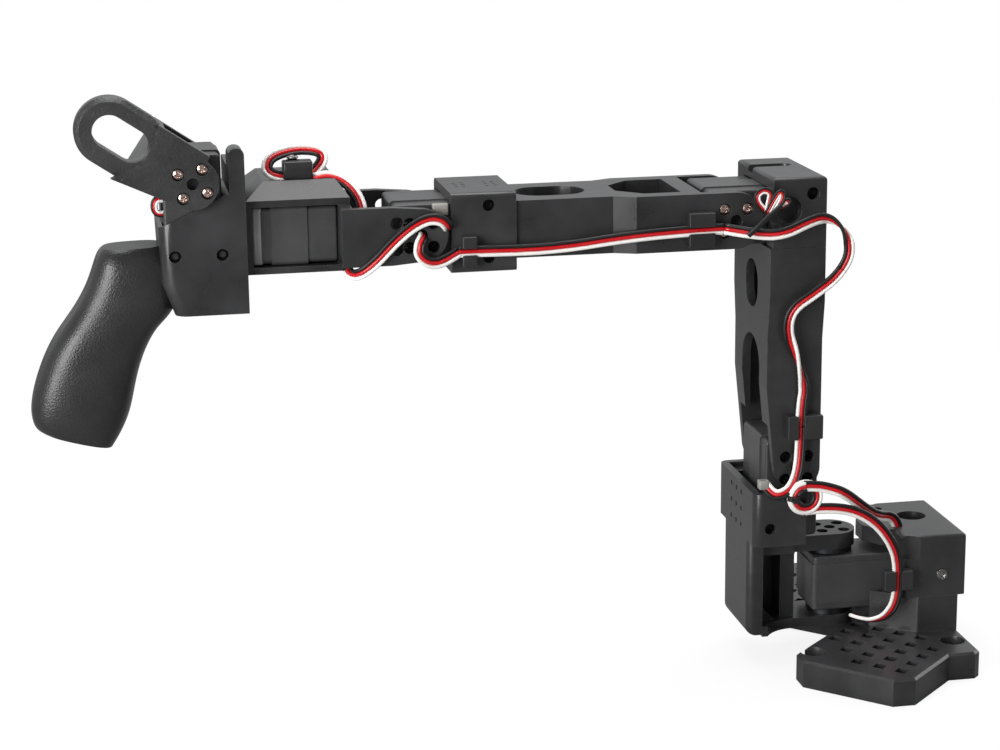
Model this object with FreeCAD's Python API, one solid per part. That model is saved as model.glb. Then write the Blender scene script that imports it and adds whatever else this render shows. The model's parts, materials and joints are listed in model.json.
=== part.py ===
"""Six-axis desktop leader arm with a pistol grip and a finger-ring trigger.

Millimetres, +Z up. The origin lies on the shoulder-pan axis at the underside of the foot, +X is the
direction of reach and +Y is the arm's left side.
"""
import FreeCAD
import Part
import math
import os
from collections import namedtuple

V = FreeCAD.Vector
UP = V(0, 0, 1)
SIDE = V(0, 1, 0)
AHEAD = V(1, 0, 0)
ORIGIN = V(0, 0, 0)

# Bus servo: three housing layers stacked along the shaft
Servo = namedtuple("Servo", "height gear_layer rear_layer")
servo = Servo(35.0, 7.7, 12.5)
low_servo = Servo(24.8, 3.4, 3.6)
servo_length = 45.2
servo_width = 24.7
shaft_to_end = 11.4
servo_corner = 2.0
cover_inset = 0.6
cover_round = 1.0
shaft_diameter = 6.0
shaft_depth = 3.0
shaft_clearance = 0.05
horn_diameter = 20.0
horn_thickness = 2.6
running_gap = 0.4
fit_clearance = 0.15
cut_overrun = 1.0

# Horn screws, four on a circle, sunk in the plates that they hold
screw_circle = 14.0
screw_turn = 45.0
trigger_screw_turn = 0.0
screw_shank = 2.5
screw_head = 4.8
screw_head_height = 2.0
screw_seat = 1.8
screw_clearance = 0.1
head_clearance = 0.2
horn_access = 5.0

# Joint axes
lift_reach = 23.5
lift_height = 91.0
elbow_reach = 28.2
elbow_rise = 109.4
forearm_length = 133.2
wrist_length = 71.0
trigger_rise = 25.2

# Foot and base block
foot_thickness = 12.0
foot_chamfer = 1.0
wing_angle = 45.0
wing_length = 54.0
wing_width = 56.3
wing_offset = 9.0
wing_corner = 7.0
flange_front = -35.8
flange_half_width = 55.5
flange_corner = 3.0
grid_pitch = 10.4
grid_count = 5
grid_start = 0.4
grid_offset = 14.9
grid_hole = 5.0
grid_margin = 9.0
bolt_front = 19.2
bolt_rear = -44.4
bolt_side = 39.2
bolt_hole = 6.5
bolt_head = 11.0
bolt_head_depth = 5.0
block_back = -51.6
block_half_width = 26.5
block_height = 16.4
nose_front = -15.2
nose_half_width = 12.8
nose_run = 17.5

# Base motor cap
cap_overhang = 3.0
cap_front = -25.5
cap_half_width = 26.5
cap_height = 28.0
cap_round = 1.6
cap_hole = 13.0
cap_hole_depth = 9.0
cap_hole_reach = -39.7
cap_hole_side = -4.1
cap_notch_length = 7.7
cap_notch_flat = 3.0
cap_notch_depth = 2.5
cap_notch_height = 10.2
cap_pin_reach = -28.6
cap_pin_spread = 13.4
cap_tongue_front = -13.8
cap_tongue_tip = 4.6
cap_tongue_half_width = 13.6
cap_tongue_taper = 6.7
cap_tongue_thickness = 7.2
cap_pin_hole = 4.0

# Shoulder bracket, a C around the pan servo
arm_clearance = 0.8
low_arm_thickness = 4.6
top_arm_thickness = 7.0
arm_half_width = 11.0
flare_start = 20.0
flare_radius = 15.5
column_front = 43.2
column_thickness = 7.0
column_half_width = 19.0
column_round = 3.0
column_toe = 5.0
shelf_back = 20.0
shelf_half_width = 13.0
foot_round = 8.0
rib_length = 6.5
rib_side = 8.0
web_side = -5.0

# Shoulder motor holder
holder_height = 23.6
sweep_clearance = 2.0
holder_half_width = 28.2
holder_wall = 3.5
holder_round = 4.0
holder_gap_drop = 25.0
holder_hole = 5.0
holder_hole_rise = 8.0
holder_hole_inset = 7.2
holder_hole_depth = 5.0
vent_count = 3
vent_pitch = 7.5
vent_hole = 2.4
vent_depth = 1.6

# Side plates of the links
plate_thickness = 4.0
plate_end_radius = 10.4

# Upper arm, a box beam with fork ends
beam_front_reach = 14.0
beam_wall = 4.0
beam_flare_low = 57.0
beam_flare_high = 73.0
beam_top_half_width = 27.0
beam_neck = 36.0
web_clearance = 1.8
seat_thickness = 8.0
window_half_width = 9.0
window_low = 67.0
window_high = 87.0
arch_half_width = 13.0
arch_high = 55.0
side_hole = 5.4
side_hole_depth = 5.0
side_hole_inset = 6.0
side_hole_drop = 7.0

# Elbow motor cap
elbow_cap_setback = 15.3
elbow_cap_roof = 5.2
elbow_cap_round = 1.6
elbow_slot_width = 7.0
elbow_slot_side = -8.0
elbow_slot_length = 18.0
elbow_slot_depth = 3.2
elbow_recess_radius = 5.8
elbow_recess_depth = 4.0
elbow_recess_length = 6.5
elbow_recess_rise = 4.0

# Forearm, a tapered frame with two through openings
forearm_half_height = 12.0
taper_start = 43.0
taper_end = 52.0
slim_wall = 3.0
fork_wall = 3.5
rear_opening_end = 48.0
rear_opening_half_width = 17.0
rear_opening_taper = 10.0
front_opening_start = 60.0
front_opening_half_width = 11.0
front_opening_wall = 3.0
sleeve_setback = 39.9

# Wrist motor holder, a sleeve round the flex servo
sleeve_end_gap = 1.7
sleeve_side = 4.35
sleeve_roof = 3.7
sleeve_floor = 4.6
sleeve_round = 2.2
sleeve_hole = 5.0
sleeve_hole_depth = 2.5
sleeve_hole_reach = 11.6
sleeve_hole_spread = 10.9
pin_hole = 1.6
pin_hole_depth = 1.5
pin_rows = 3
pin_pitch = 4.4
pin_pair = 3.4
pin_group = 13.0

# Wrist link and the frame of the roll servo
link_end_radius = 11.0
frame_wall = 2.75
frame_back_wall = 5.0
frame_front_wall = 2.4
frame_rear_wall = 3.4
frame_rim = 2.1
roof_height = 6.8
roof_front_step = 8.0
roof_rear_step = 5.0
roof_side_step = 8.0
link_hole = 5.4
link_hole_reach = 10.2
link_hole_spread = 5.4

# Handle block around the trigger servo
handle_half_width = 20.0
handle_back_wall = 8.7
handle_front_wall = 1.7
handle_bottom = -29.8
handle_low_setback = 5.4
handle_knee = -17.0
handle_knee_setback = 0.8
handle_lip = 6.8
handle_lip_back = 20.0
cheek_height = 38.2
cheek_depth = 6.5
cheek_side = 8.0
cheek_round = 3.0
back_wall_height = 30.0
handle_corner = 5.2
handle_hole = 5.0
handle_hole_rise = -5.0
handle_hole_rear = 10.1
handle_hole_setback = 6.2
handle_hole_depth = 1.8
horn_room = 0.8

# Pistol grip: stations from the neck to the butt, as front and rear points and a half width
GripStation = namedtuple("GripStation", "front_x front_z rear_x rear_z half_width")
grip_stations = (
    GripStation(57.5, -3.2, 34.0, -2.6, 9.5),
    GripStation(60.5, -7.0, 29.5, -10.8, 13.5),
    GripStation(67.0, -22.4, 29.5, -28.2, 15.0),
    GripStation(77.0, -36.8, 37.0, -37.3, 15.5),
    GripStation(86.0, -53.8, 46.0, -56.3, 16.0),
    GripStation(90.0, -70.2, 50.0, -71.8, 15.5),
    GripStation(85.5, -78.6, 57.5, -86.4, 13.0),
)
grip_squareness = 3.0
grip_points = 16

# Trigger yoke and finger ring, drawn level and then raised to the rest angle
trigger_angle = 34.4
trigger_end_radius = 10.6
trigger_throat = 19.0
trigger_front_low = 28.6
trigger_front_drop = 15.4
trigger_front_high = 24.0
trigger_rail = 12.9
ring_hole_radius = 6.8
ring_hole_start = 21.5
ring_hole_length = 24.0
ring_wall = 7.2
ring_chamfer = 2.0
ring_depth = 10.0
ring_setback = 2.4
bridge_clearance = 0.9

# Leads, their clips and their tied slack
lead_diameter = 3.0
lead_clearance = 0.3
lead_bend = 0.45
clip_base = 1.4
clip_height = 5.2
clip_lip = 0.7
clip_lip_height = 1.0
base_clip_width = 13.2
base_clip_length = 9.0
base_clip_reach = -21.9
base_clip_rise = 9.9
arm_clip_width = 15.6
arm_clip_length = 10.6
arm_clip_reach = -2.2
arm_clip_rise = 18.9
arm_clip_offset = 1.8
elbow_clip_width = 14.6
elbow_clip_length = 11.4
elbow_clip_reach = 15.9
elbow_clip_drop = 2.5
wrist_clip_width = 12.6
wrist_clip_length = 6.2
wrist_clip_reach = 20.4
wrist_clip_drop = 7.4
tower_reach = 21.3
tower_side = 1.0
tower_length = 12.0
tower_width = 8.0
tower_foot = 1.8
tower_post = 6.4
tower_height = 8.4
tower_eye = 3.4
tower_round = 1.2
coil_radius = 5.4
coil_reach = -2.0
coil_drop = 11.4
hank_radius = 2.9
hank_high_reach = -18.5
hank_high_rise = 6.6
hank_low_reach = -11.5
hank_low_drop = 4.0
tie_width = 2.4
tie_thickness = 0.8
tie_head = 2.6
lead_split = 0.5
base_lead_run = 8.8
elbow_lead_run = 9.3
wrist_lead_run = 5.0
feed_depth = 0.8
pan_route = ((-7.8, 14.2, 22.5), (-11.7, 19.0, 19.4), (-17.4, 26.0, 21.7))
shoulder_route = ((-41.2, 31.0, -33.9), (-34.1, 31.4, -24.9), (-23.9, 31.4, -18.7), (-11.1, 31.2, -16.0))
feed_route = ((-11.0, 31.0, -8.7), (-20.5, 25.6, -12.0), (-30.5, 20.0, -20.6),
              (-40.5, 14.5, -27.6), (-50.8, 9.8, -30.0))
lift_route = ((14.9, 26.9, -8.4), (10.8, 29.8, -8.6), (6.0, 31.2, -7.7), (1.2, 29.6, -1.8),
              (-0.5, 27.7, 9.8))
upper_arm_route = ((-0.6, 27.7, 28.1), (-2.0, 27.9, 37.2), (1.5, 28.0, 48.3), (7.0, 29.2, 61.4),
                   (5.4, 30.5, 71.6))
elbow_route = ((-32.7, 31.2, -31.4), (-42.1, 31.8, -24.6), (-48.0, 32.2, -14.9), (-45.4, 32.2, -4.3),
               (-37.0, 31.2, 1.6), (-27.5, 34.0, -0.5), (-18.8, 35.6, -4.0), (-8.8, 33.4, -5.1))
forearm_route = ((46.1, 27.4, -3.9), (79.2, 25.5, -8.1))
flex_route = ((-8.6, 26.8, -11.0), (-2.5, 27.8, -11.3), (1.9, 28.0, -7.5), (1.4, 27.6, -2.9),
              (-1.6, 26.2, -0.6))
wrist_route = ((37.1, 13.4, -8.0), (35.6, 17.0, -13.2), (29.5, 22.6, -15.0), (23.5, 26.4, -12.6),
               (15.1, 27.0, -5.2), (8.7, 26.8, 0.8), (2.4, 26.6, 5.2), (-3.5, 26.5, 7.3),
               (-8.2, 26.4, 6.1), (-9.7, 26.2, 2.0))
roll_route = ((-17.2, 1.0, 25.4), (-12.6, -0.6, 26.0), (-11.2, -3.4, 29.4), (-15.4, -4.8, 31.4),
              (-24.4, -4.8, 32.4), (-31.8, -1.2, 30.4), (-34.5, 2.0, 26.6), (-38.6, 4.8, 24.6),
              (-45.4, 8.4, 20.2), (-49.4, 13.0, 14.6), (-52.4, 18.2, 11.1))
trigger_route = ((35.7, 12.0, 20.4), (36.2, 13.4, 15.4), (36.2, 12.4, 10.4))
small_screw_head = 5.0
small_screw_sink = 1.2
cap_screw_reach = -43.3
cap_screw_rise = 10.0

# Places worked out from the sizes above
servo_tail = servo_length - shaft_to_end
forearm_end = forearm_length - sleeve_setback
trigger_reach = handle_back_wall + fit_clearance + servo_width / 2
handle_front = trigger_reach + servo_width / 2 + fit_clearance + handle_front_wall
handle_front_low = handle_front - handle_low_setback
handle_knee_front = handle_front - handle_knee_setback
handle_hole_front = handle_front - handle_hole_setback
servo_corner_reach = math.hypot(shaft_to_end, servo_width / 2)
lead_stand = clip_base + lead_clearance + lead_diameter / 2
slack_stand = tie_thickness + 2 * lead_clearance + lead_diameter / 2


def horn_face(kind):
    """Distance from a servo's middle plane to the outer face of its horn."""
    return kind.height / 2 + running_gap + horn_thickness


plate_inner = horn_face(servo)
plate_outer = plate_inner + plate_thickness
pan_middle = foot_thickness + arm_clearance + low_arm_thickness + horn_face(low_servo)
lift_axis = V(lift_reach, 0, lift_height)
elbow_axis = lift_axis + V(elbow_reach, 0, elbow_rise)
flex_axis = elbow_axis + V(forearm_length, 0, 0)
handle_plane = flex_axis.x + wrist_length
roll_axis = V(handle_plane - horn_face(servo), 0, flex_axis.z)
trigger_axis = V(handle_plane + trigger_reach, 0, flex_axis.z + trigger_rise)
shelf_top = lift_height - servo_tail
cap_low = foot_thickness + block_height
cap_top = cap_low + cap_height
beam_rear = lift_reach - plate_end_radius
beam_front = lift_reach + beam_front_reach
beam_top = elbow_axis.z - servo_width / 2
elbow_cap_front = elbow_axis.x - elbow_cap_setback
elbow_slot_end = elbow_cap_front - elbow_slot_length


def block(x, y, z):
    """Box between low and high values of X, Y and Z."""
    return Part.makeBox(x[1] - x[0], y[1] - y[0], z[1] - z[0], V(x[0], y[0], z[0]))


def prism(corners, thickness):
    """Solid of a closed outline of points, carried along a vector."""
    return Part.Face(Part.makePolygon(corners + corners[:1])).extrude(thickness)


def across(outline, y):
    """Solid of an outline in X and Z, between two values of Y."""
    return prism([V(px, y[0], pz) for px, pz in outline], V(0, y[1] - y[0], 0))


def upright(outline, z):
    """Solid of an outline in X and Y, between two values of Z."""
    return prism([V(px, py, z[0]) for px, py in outline], V(0, 0, z[1] - z[0]))


def lengthwise(outline, x):
    """Solid of an outline in Y and Z, between two values of X."""
    return prism([V(x[0], py, pz) for py, pz in outline], V(x[1] - x[0], 0, 0))


def rod(diameter, start, end):
    """Round bar between two points."""
    return Part.makeCylinder(diameter / 2, (end - start).Length, start, end - start)


def stadium(radius, first, second, depth):
    """Round-ended bar between two centres, carried along a vector square to it."""
    run = second - first
    run.normalize()
    out = run.cross(depth)
    out.normalize()
    out = out * radius
    edges = [
        Part.LineSegment(first + out, second + out),
        Part.Arc(second + out, second + run * radius, second - out),
        Part.LineSegment(second - out, first - out),
        Part.Arc(first - out, first - run * radius, first + out),
    ]
    return Part.Face(Part.Wire([edge.toShape() for edge in edges])).extrude(depth)


def both_sides(shape):
    """A shape and its mirror image across the arm's middle plane."""
    return [shape, shape.mirror(ORIGIN, SIDE)]


def runs_along(edge, direction):
    """Whether an edge is straight and parallel to a direction."""
    straight = isinstance(edge.Curve, Part.Line)
    return straight and abs(edge.tangentAt(edge.FirstParameter).dot(direction)) > 0.999


def rounded(shape, radius, chosen):
    """A shape with the chosen edges filleted."""
    return shape.makeFillet(radius, [edge for edge in shape.Edges if chosen(edge)])


def joined(shapes):
    """One solid from touching or overlapping shapes."""
    return shapes[0].multiFuse(shapes[1:]).removeSplitter()


def minus(shape, cutters):
    """A shape with every cutter taken away."""
    for cutter in cutters:
        shape = shape.cut(cutter)
    return shape


class Drive:
    """A servo at a joint, with the horns and screws that carry the next link."""

    def __init__(self, kind, axis_point, shaft, tail, first_screw=screw_turn):
        self.kind = kind
        self.first_screw = first_screw
        head = tail * -1
        turn = FreeCAD.Rotation(head, shaft.cross(head), shaft, "ZXY")
        self.place = FreeCAD.Placement(axis_point, turn)

    def placed(self, shape):
        """A shape drawn with the shaft upright at the origin, moved to the joint."""
        shape = shape.copy()
        shape.Placement = self.place.multiply(shape.Placement)
        return shape

    def layer(self, low, high, inset):
        """One housing layer with rounded corners."""
        x = (inset - servo_tail, shaft_to_end - inset)
        y = (inset - servo_width / 2, servo_width / 2 - inset)
        return rounded(block(x, y, (low, high)), servo_corner, lambda e: runs_along(e, UP))

    def cover(self, thickness):
        """End cover over the upper face, with a bore for the shaft."""
        high = self.kind.height / 2
        shell = self.layer(high - thickness, high, cover_inset)
        shell = rounded(shell, cover_round, lambda e: e.BoundBox.ZMin > high - cover_round)
        bore = shaft_diameter + 2 * shaft_clearance
        return shell.cut(rod(bore, V(0, 0, high - shaft_depth), V(0, 0, high + 1)))

    def case(self):
        """Middle housing layer."""
        half = self.kind.height / 2
        return self.placed(self.layer(self.kind.rear_layer - half, half - self.kind.gear_layer, 0))

    def covers(self):
        """Gear cover and rear cover."""
        rear = self.cover(self.kind.rear_layer).mirror(ORIGIN, UP)
        return Part.Compound([self.placed(self.cover(self.kind.gear_layer)), self.placed(rear)])

    def screw_places(self):
        """Centres of the horn screws round the shaft."""
        reach = screw_circle / 2
        angles = [math.radians(self.first_screw + 90 * i) for i in range(4)]
        return [V(reach * math.cos(a), reach * math.sin(a), 0) for a in angles]

    def upper_horn(self):
        """Horn disc on its shaft, drilled for the screws."""
        face = horn_face(self.kind)
        disc = rod(horn_diameter, V(0, 0, face - horn_thickness), V(0, 0, face))
        shaft_low = self.kind.height / 2 - shaft_depth + running_gap
        horn = disc.fuse(rod(shaft_diameter, V(0, 0, shaft_low), V(0, 0, face))).removeSplitter()
        bore = screw_shank + screw_clearance
        return minus(horn, [rod(bore, at, at + V(0, 0, face + 1)) for at in self.screw_places()])

    def sides(self, shape, count):
        """A shape on the horn side, and on the idler side too where count is two."""
        return [self.placed(s) for s in (shape, shape.mirror(ORIGIN, UP))[:count]]

    def horns(self, count):
        """Driven horn, and the free-turning horn on the rear cover where there is one."""
        return Part.Compound(self.sides(self.upper_horn(), count))

    def screws(self, count):
        """Screws through the plates into the horns."""
        face = horn_face(self.kind)
        tip = V(0, 0, face - horn_thickness)
        seat = V(0, 0, face + screw_seat)
        top = seat + V(0, 0, screw_head_height)
        solids = []
        for at in self.screw_places():
            screw = rod(screw_shank, at + tip, at + seat).fuse(rod(screw_head, at + seat, at + top))
            solids += self.sides(screw.removeSplitter(), count)
        return Part.Compound(solids)

    def plate_holes(self, reach, count=2):
        """Cutters for the screws and the centre opening in a plate on the horn."""
        face = V(0, 0, horn_face(self.kind))
        under = face - V(0, 0, 1)
        seat = face + V(0, 0, screw_seat)
        far = face + V(0, 0, reach + 1)
        cutters = self.sides(rod(horn_access, under, far), count)
        for at in self.screw_places():
            shank = rod(screw_shank + screw_clearance, at + under, at + seat)
            head = rod(screw_head + 2 * head_clearance, at + seat, at + far)
            cutters += self.sides(shank.fuse(head), count)
        return cutters


DOWN = V(0, 0, -1)
BACK = V(-1, 0, 0)
drives = {
    "pan": Drive(low_servo, V(0, 0, pan_middle), UP, BACK),
    "lift": Drive(servo, lift_axis, SIDE, DOWN),
    "elbow": Drive(servo, elbow_axis, SIDE, BACK),
    "flex": Drive(servo, flex_axis, SIDE, BACK),
    "roll": Drive(servo, roll_axis, AHEAD, V(0, -1, 0)),
    "trigger": Drive(servo, trigger_axis, SIDE, DOWN, trigger_screw_turn),
}


def wing_point(along, beside):
    """Place on the foot, measured along and beside the left wing."""
    turn = math.radians(wing_angle)
    x = along * math.cos(turn) - beside * math.sin(turn)
    y = along * math.sin(turn) + beside * math.cos(turn)
    return V(x, y, 0)


def foot_plate():
    """Two turned wings and a rear flange, chamfered along the top."""
    near, far = wing_offset, wing_offset + wing_width
    outline = [(-near, near), (wing_length - wing_corner, near), (wing_length, near + wing_corner),
               (wing_length, far - wing_corner), (wing_length - wing_corner, far), (0, far)]
    corners = [wing_point(a, b)[:2] for a, b in outline]
    wing = upright(corners + [(corners[-1][0], 0)], (0, foot_thickness))
    back, side, cut = block_back, flange_half_width, flange_corner
    flange = upright([(flange_front, -side), (flange_front, side), (back + cut, side),
                      (back, side - cut), (back, cut - side), (back + cut, -side)],
                     (0, foot_thickness))
    plate = joined(both_sides(wing) + [flange])
    rim = [e for e in plate.Edges if e.BoundBox.ZMin > foot_thickness - foot_chamfer]
    return plate.makeChamfer(foot_chamfer, rim)


def foot_holes():
    """Grid of square holes in the wings and the counterbored bolt holes."""
    cutters = []
    bolts = [V(x, bolt_side, 0) for x in (bolt_front, bolt_rear)]
    top = V(0, 0, foot_thickness + 1)
    for i in range(grid_count):
        for j in range(grid_count):
            at = wing_point(grid_start + i * grid_pitch, grid_offset + j * grid_pitch)
            if min((at - other).Length for other in bolts + [ORIGIN]) < grid_margin + grid_hole / 2:
                continue
            half = grid_hole / 2
            hole = block((-half, half), (-half, half), (-1, foot_thickness + 1))
            hole.rotate(ORIGIN, UP, wing_angle)
            hole.translate(at)
            cutters += both_sides(hole)
    for at in bolts:
        seat = at + V(0, 0, foot_thickness - bolt_head_depth)
        hole = rod(bolt_hole, at - UP, at + top).fuse(rod(bolt_head, seat, at + top))
        cutters += both_sides(hole)
    return cutters


def pan_pocket():
    """Room for the pan servo in the base mouldings."""
    half = low_servo.height / 2
    side = servo_width / 2 + fit_clearance
    back = -servo_tail - fit_clearance
    return block((back, servo_length), (-side, side), (pan_middle - half, pan_middle + half))


def base_foot():
    """Foot plate with the lower motor block standing on it."""
    outline = [(nose_front, nose_half_width), (nose_front - nose_run, block_half_width),
               (block_back, block_half_width)]
    outline += [(x, -y) for x, y in reversed(outline)]
    lower = rounded(upright(outline, (0, cap_low)), cap_round,
                    lambda e: runs_along(e, UP) and e.BoundBox.XMax < nose_front - 1)
    foot = minus(foot_plate(), foot_holes())
    return joined([foot, lower]).cut(pan_pocket())


def base_motor_cap():
    """Upper motor block that clamps the pan servo, with a tongue above the servo's shaft end."""
    side = cap_half_width
    body = block((block_back - cap_overhang, cap_front), (-side, side), (cap_low, cap_top))
    body = rounded(body, cap_round, lambda e: runs_along(e, UP) or e.BoundBox.ZMin > cap_top - 1)
    root = cap_front - cap_round
    tongue = [(cap_tongue_front, cap_tongue_tip),
              (cap_tongue_front - cap_tongue_taper, cap_tongue_half_width), (root, cap_tongue_half_width)]
    tongue += [(x, -y) for x, y in reversed(tongue)]
    cap = joined([body, upright(tongue, (cap_top - cap_tongue_thickness, cap_top))])
    inner = side - cap_notch_depth
    notch = upright([(cap_front + 1, inner), (cap_front - cap_notch_flat, inner),
                     (cap_front - cap_notch_length, side), (cap_front - cap_notch_length, side + 1),
                     (cap_front + 1, side + 1)], (cap_top - cap_notch_height, cap_top + 1))
    hole = V(cap_hole_reach, cap_hole_side, cap_top)
    cutters = both_sides(notch) + [pan_pocket()]
    cutters.append(rod(cap_hole, hole - UP * cap_hole_depth, hole + UP))
    cutters += [rod(cap_pin_hole, pin - UP * cap_hole_depth, pin + UP) for pin in cap_pins()]
    return minus(cap, cutters)


def cap_pins():
    """Centres of the two small holes in the base motor cap's top, right and left."""
    sides = (cap_hole_side - cap_pin_spread, cap_hole_side + cap_pin_spread)
    return [V(cap_pin_reach, y, cap_top) for y in sides]


def horn_arm(z, end):
    """Flat arm with a round end on the pan axis."""
    ring = rod(2 * arm_half_width, V(0, 0, z[0]), V(0, 0, z[1]))
    return ring.fuse(block((0, end), (-arm_half_width, arm_half_width), z))


def shoulder_bracket():
    """Column with a lower and an upper arm that hold the pan horns, and a rib between them."""
    low = foot_thickness + arm_clearance
    pan_top = pan_middle + horn_face(low_servo)
    back = column_front - column_thickness
    side = column_half_width
    column = block((back, column_front), (-side, side), (low, shelf_top))
    column = rounded(column, column_toe, lambda e: runs_along(e, SIDE)
                     and e.BoundBox.XMin > column_front - 1 and e.BoundBox.ZMax < low + 1)
    column = rounded(column, column_round,
                     lambda e: runs_along(e, UP) and e.BoundBox.XMin > column_front - 1)
    lower_z = (low, low + low_arm_thickness)
    flare = block((flare_start, back), (-side, side), lower_z)
    centre = V(flare_start, arm_half_width + flare_radius, low - cut_overrun)
    scoop = rod(2 * flare_radius, centre, centre + UP * (low_arm_thickness + 2 * cut_overrun))
    flare = minus(flare, both_sides(scoop))
    heel = across([(back - foot_round, lower_z[1]), (back, lower_z[1]), (back, lower_z[1] + foot_round)],
                  (-arm_half_width, arm_half_width))
    upper = horn_arm((pan_top, pan_top + top_arm_thickness), shelf_back)
    shelf = block((shelf_back, back), (-shelf_half_width, shelf_half_width), (pan_top, shelf_top))
    web_start = servo_corner_reach + web_clearance
    rib_end = web_start + rib_length
    tall = (low, pan_top + top_arm_thickness)
    rib = block((web_start, rib_end), (-arm_half_width, rib_side), tall)
    web = block((rib_end, back), (-arm_half_width, web_side), tall)
    bracket = joined([column, horn_arm(lower_z, flare_start), flare, heel, upper, shelf, rib, web])
    return minus(bracket, drives["pan"].plate_holes(top_arm_thickness))


def shoulder_motor_holder():
    """Open box that carries the lift servo and leaves room for the upper arm's plates."""
    top = shelf_top + holder_height
    side = holder_half_width
    front = column_front
    box = rounded(block((shelf_back, front), (-side, side), (shelf_top, top)), holder_round,
                  lambda e: runs_along(e, UP) and e.BoundBox.XMin > front - 1)
    servo_front = lift_reach + servo_width / 2 + fit_clearance
    servo_side = servo.height / 2 + fit_clearance
    inner = side - holder_wall
    sweep_floor = lift_height - plate_end_radius - sweep_clearance
    cutters = [
        block((shelf_back - 1, servo_front), (-servo_side, servo_side), (shelf_top - 1, top + 1)),
        block((shelf_back - 1, front - holder_wall), (-inner, inner), (sweep_floor, top + 1)),
        block((servo_front - 1, front - holder_wall), (-servo_side, servo_side),
              (lift_height - holder_gap_drop, top + 1)),
    ]
    screw = V(front - holder_hole_inset, side, shelf_top + holder_hole_rise)
    cutters += both_sides(rod(holder_hole, screw - SIDE * holder_hole_depth, screw + SIDE))
    middle = (shelf_top + top) / 2
    for i in range(vent_count):
        for j in range(vent_count):
            at = V(front, (i - 1) * vent_pitch, middle + (j - 1) * vent_pitch)
            cutters.append(rod(vent_hole, at - AHEAD * vent_depth, at + AHEAD))
    return minus(box, cutters)


def upper_arm_beam():
    """Box beam from the lift fork to the elbow servo's seat."""
    x, z = lift_axis.x, lift_axis.z
    low = z - plate_end_radius
    neck = z + beam_neck
    outline = [(beam_rear, z), (beam_rear, beam_top), (beam_front, beam_top), (beam_front, neck),
               (x + plate_end_radius, z)]
    reach = beam_top_half_width
    plan = [(plate_outer, low), (plate_outer, z + beam_flare_low), (reach, z + beam_flare_high),
            (reach, beam_top)]
    plan += [(-y, h) for y, h in reversed(plan)]
    ends = rod(2 * plate_end_radius, lift_axis - SIDE * reach, lift_axis + SIDE * reach)
    outer = joined([across(outline, (-reach, reach)), ends])
    outer = outer.common(lengthwise(plan, (beam_rear - 1, beam_front + 1)))
    web_low = z + servo_corner_reach + web_clearance
    inside = (-plate_inner, plate_inner)
    fork = block((beam_rear - 1, beam_front + 1), inside, (low - 1, web_low))
    hollow = block((beam_rear + beam_wall, beam_front - beam_wall), inside,
                   (web_low - 1, beam_top - seat_thickness))
    through = AHEAD * (beam_front - beam_rear + 2)
    back = beam_rear - 1
    window = stadium(window_half_width, V(back, 0, z + window_low + window_half_width),
                     V(back, 0, z + window_high - window_half_width + 1), through)
    arch = stadium(arch_half_width, V(back, 0, web_low), V(back, 0, z + arch_high - arch_half_width),
                   through)
    return minus(outer, [fork, hollow, window, arch] + drives["lift"].plate_holes(plate_thickness))


def elbow_motor_cap():
    """Cap that clamps the elbow servo on the upper arm."""
    top = elbow_axis.z + servo_width / 2 + elbow_cap_roof
    side = beam_top_half_width
    cap = block((beam_rear, elbow_cap_front), (-side, side), (beam_top, top))
    cap = rounded(cap, elbow_cap_round, lambda e: e.BoundBox.ZMin > top - 1)
    servo_back = elbow_axis.x - servo_tail - fit_clearance
    servo_side = servo.height / 2 + fit_clearance
    pocket = block((servo_back, elbow_cap_front + 1), (-servo_side, servo_side),
                   (beam_top - 1, elbow_axis.z + servo_width / 2 + fit_clearance))
    half = elbow_slot_width / 2
    slot = stadium(half, V(elbow_slot_end + half, elbow_slot_side, top + 1),
                   V(elbow_cap_front + 2 * half, elbow_slot_side, top + 1), DOWN * (elbow_slot_depth + 1))
    rise = elbow_axis.z + elbow_recess_rise
    recess = stadium(elbow_recess_radius, V(elbow_cap_front - elbow_recess_length, side + 1, rise),
                     V(elbow_cap_front + elbow_recess_radius, side + 1, rise),
                     SIDE * -(elbow_recess_depth + 1))
    hole = V(beam_rear + side_hole_inset, side, top - side_hole_drop)
    cutters = [pocket, slot] + both_sides(recess)
    cutters += both_sides(rod(side_hole, hole - SIDE * side_hole_depth, hole + SIDE))
    return minus(cap, cutters)


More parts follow.
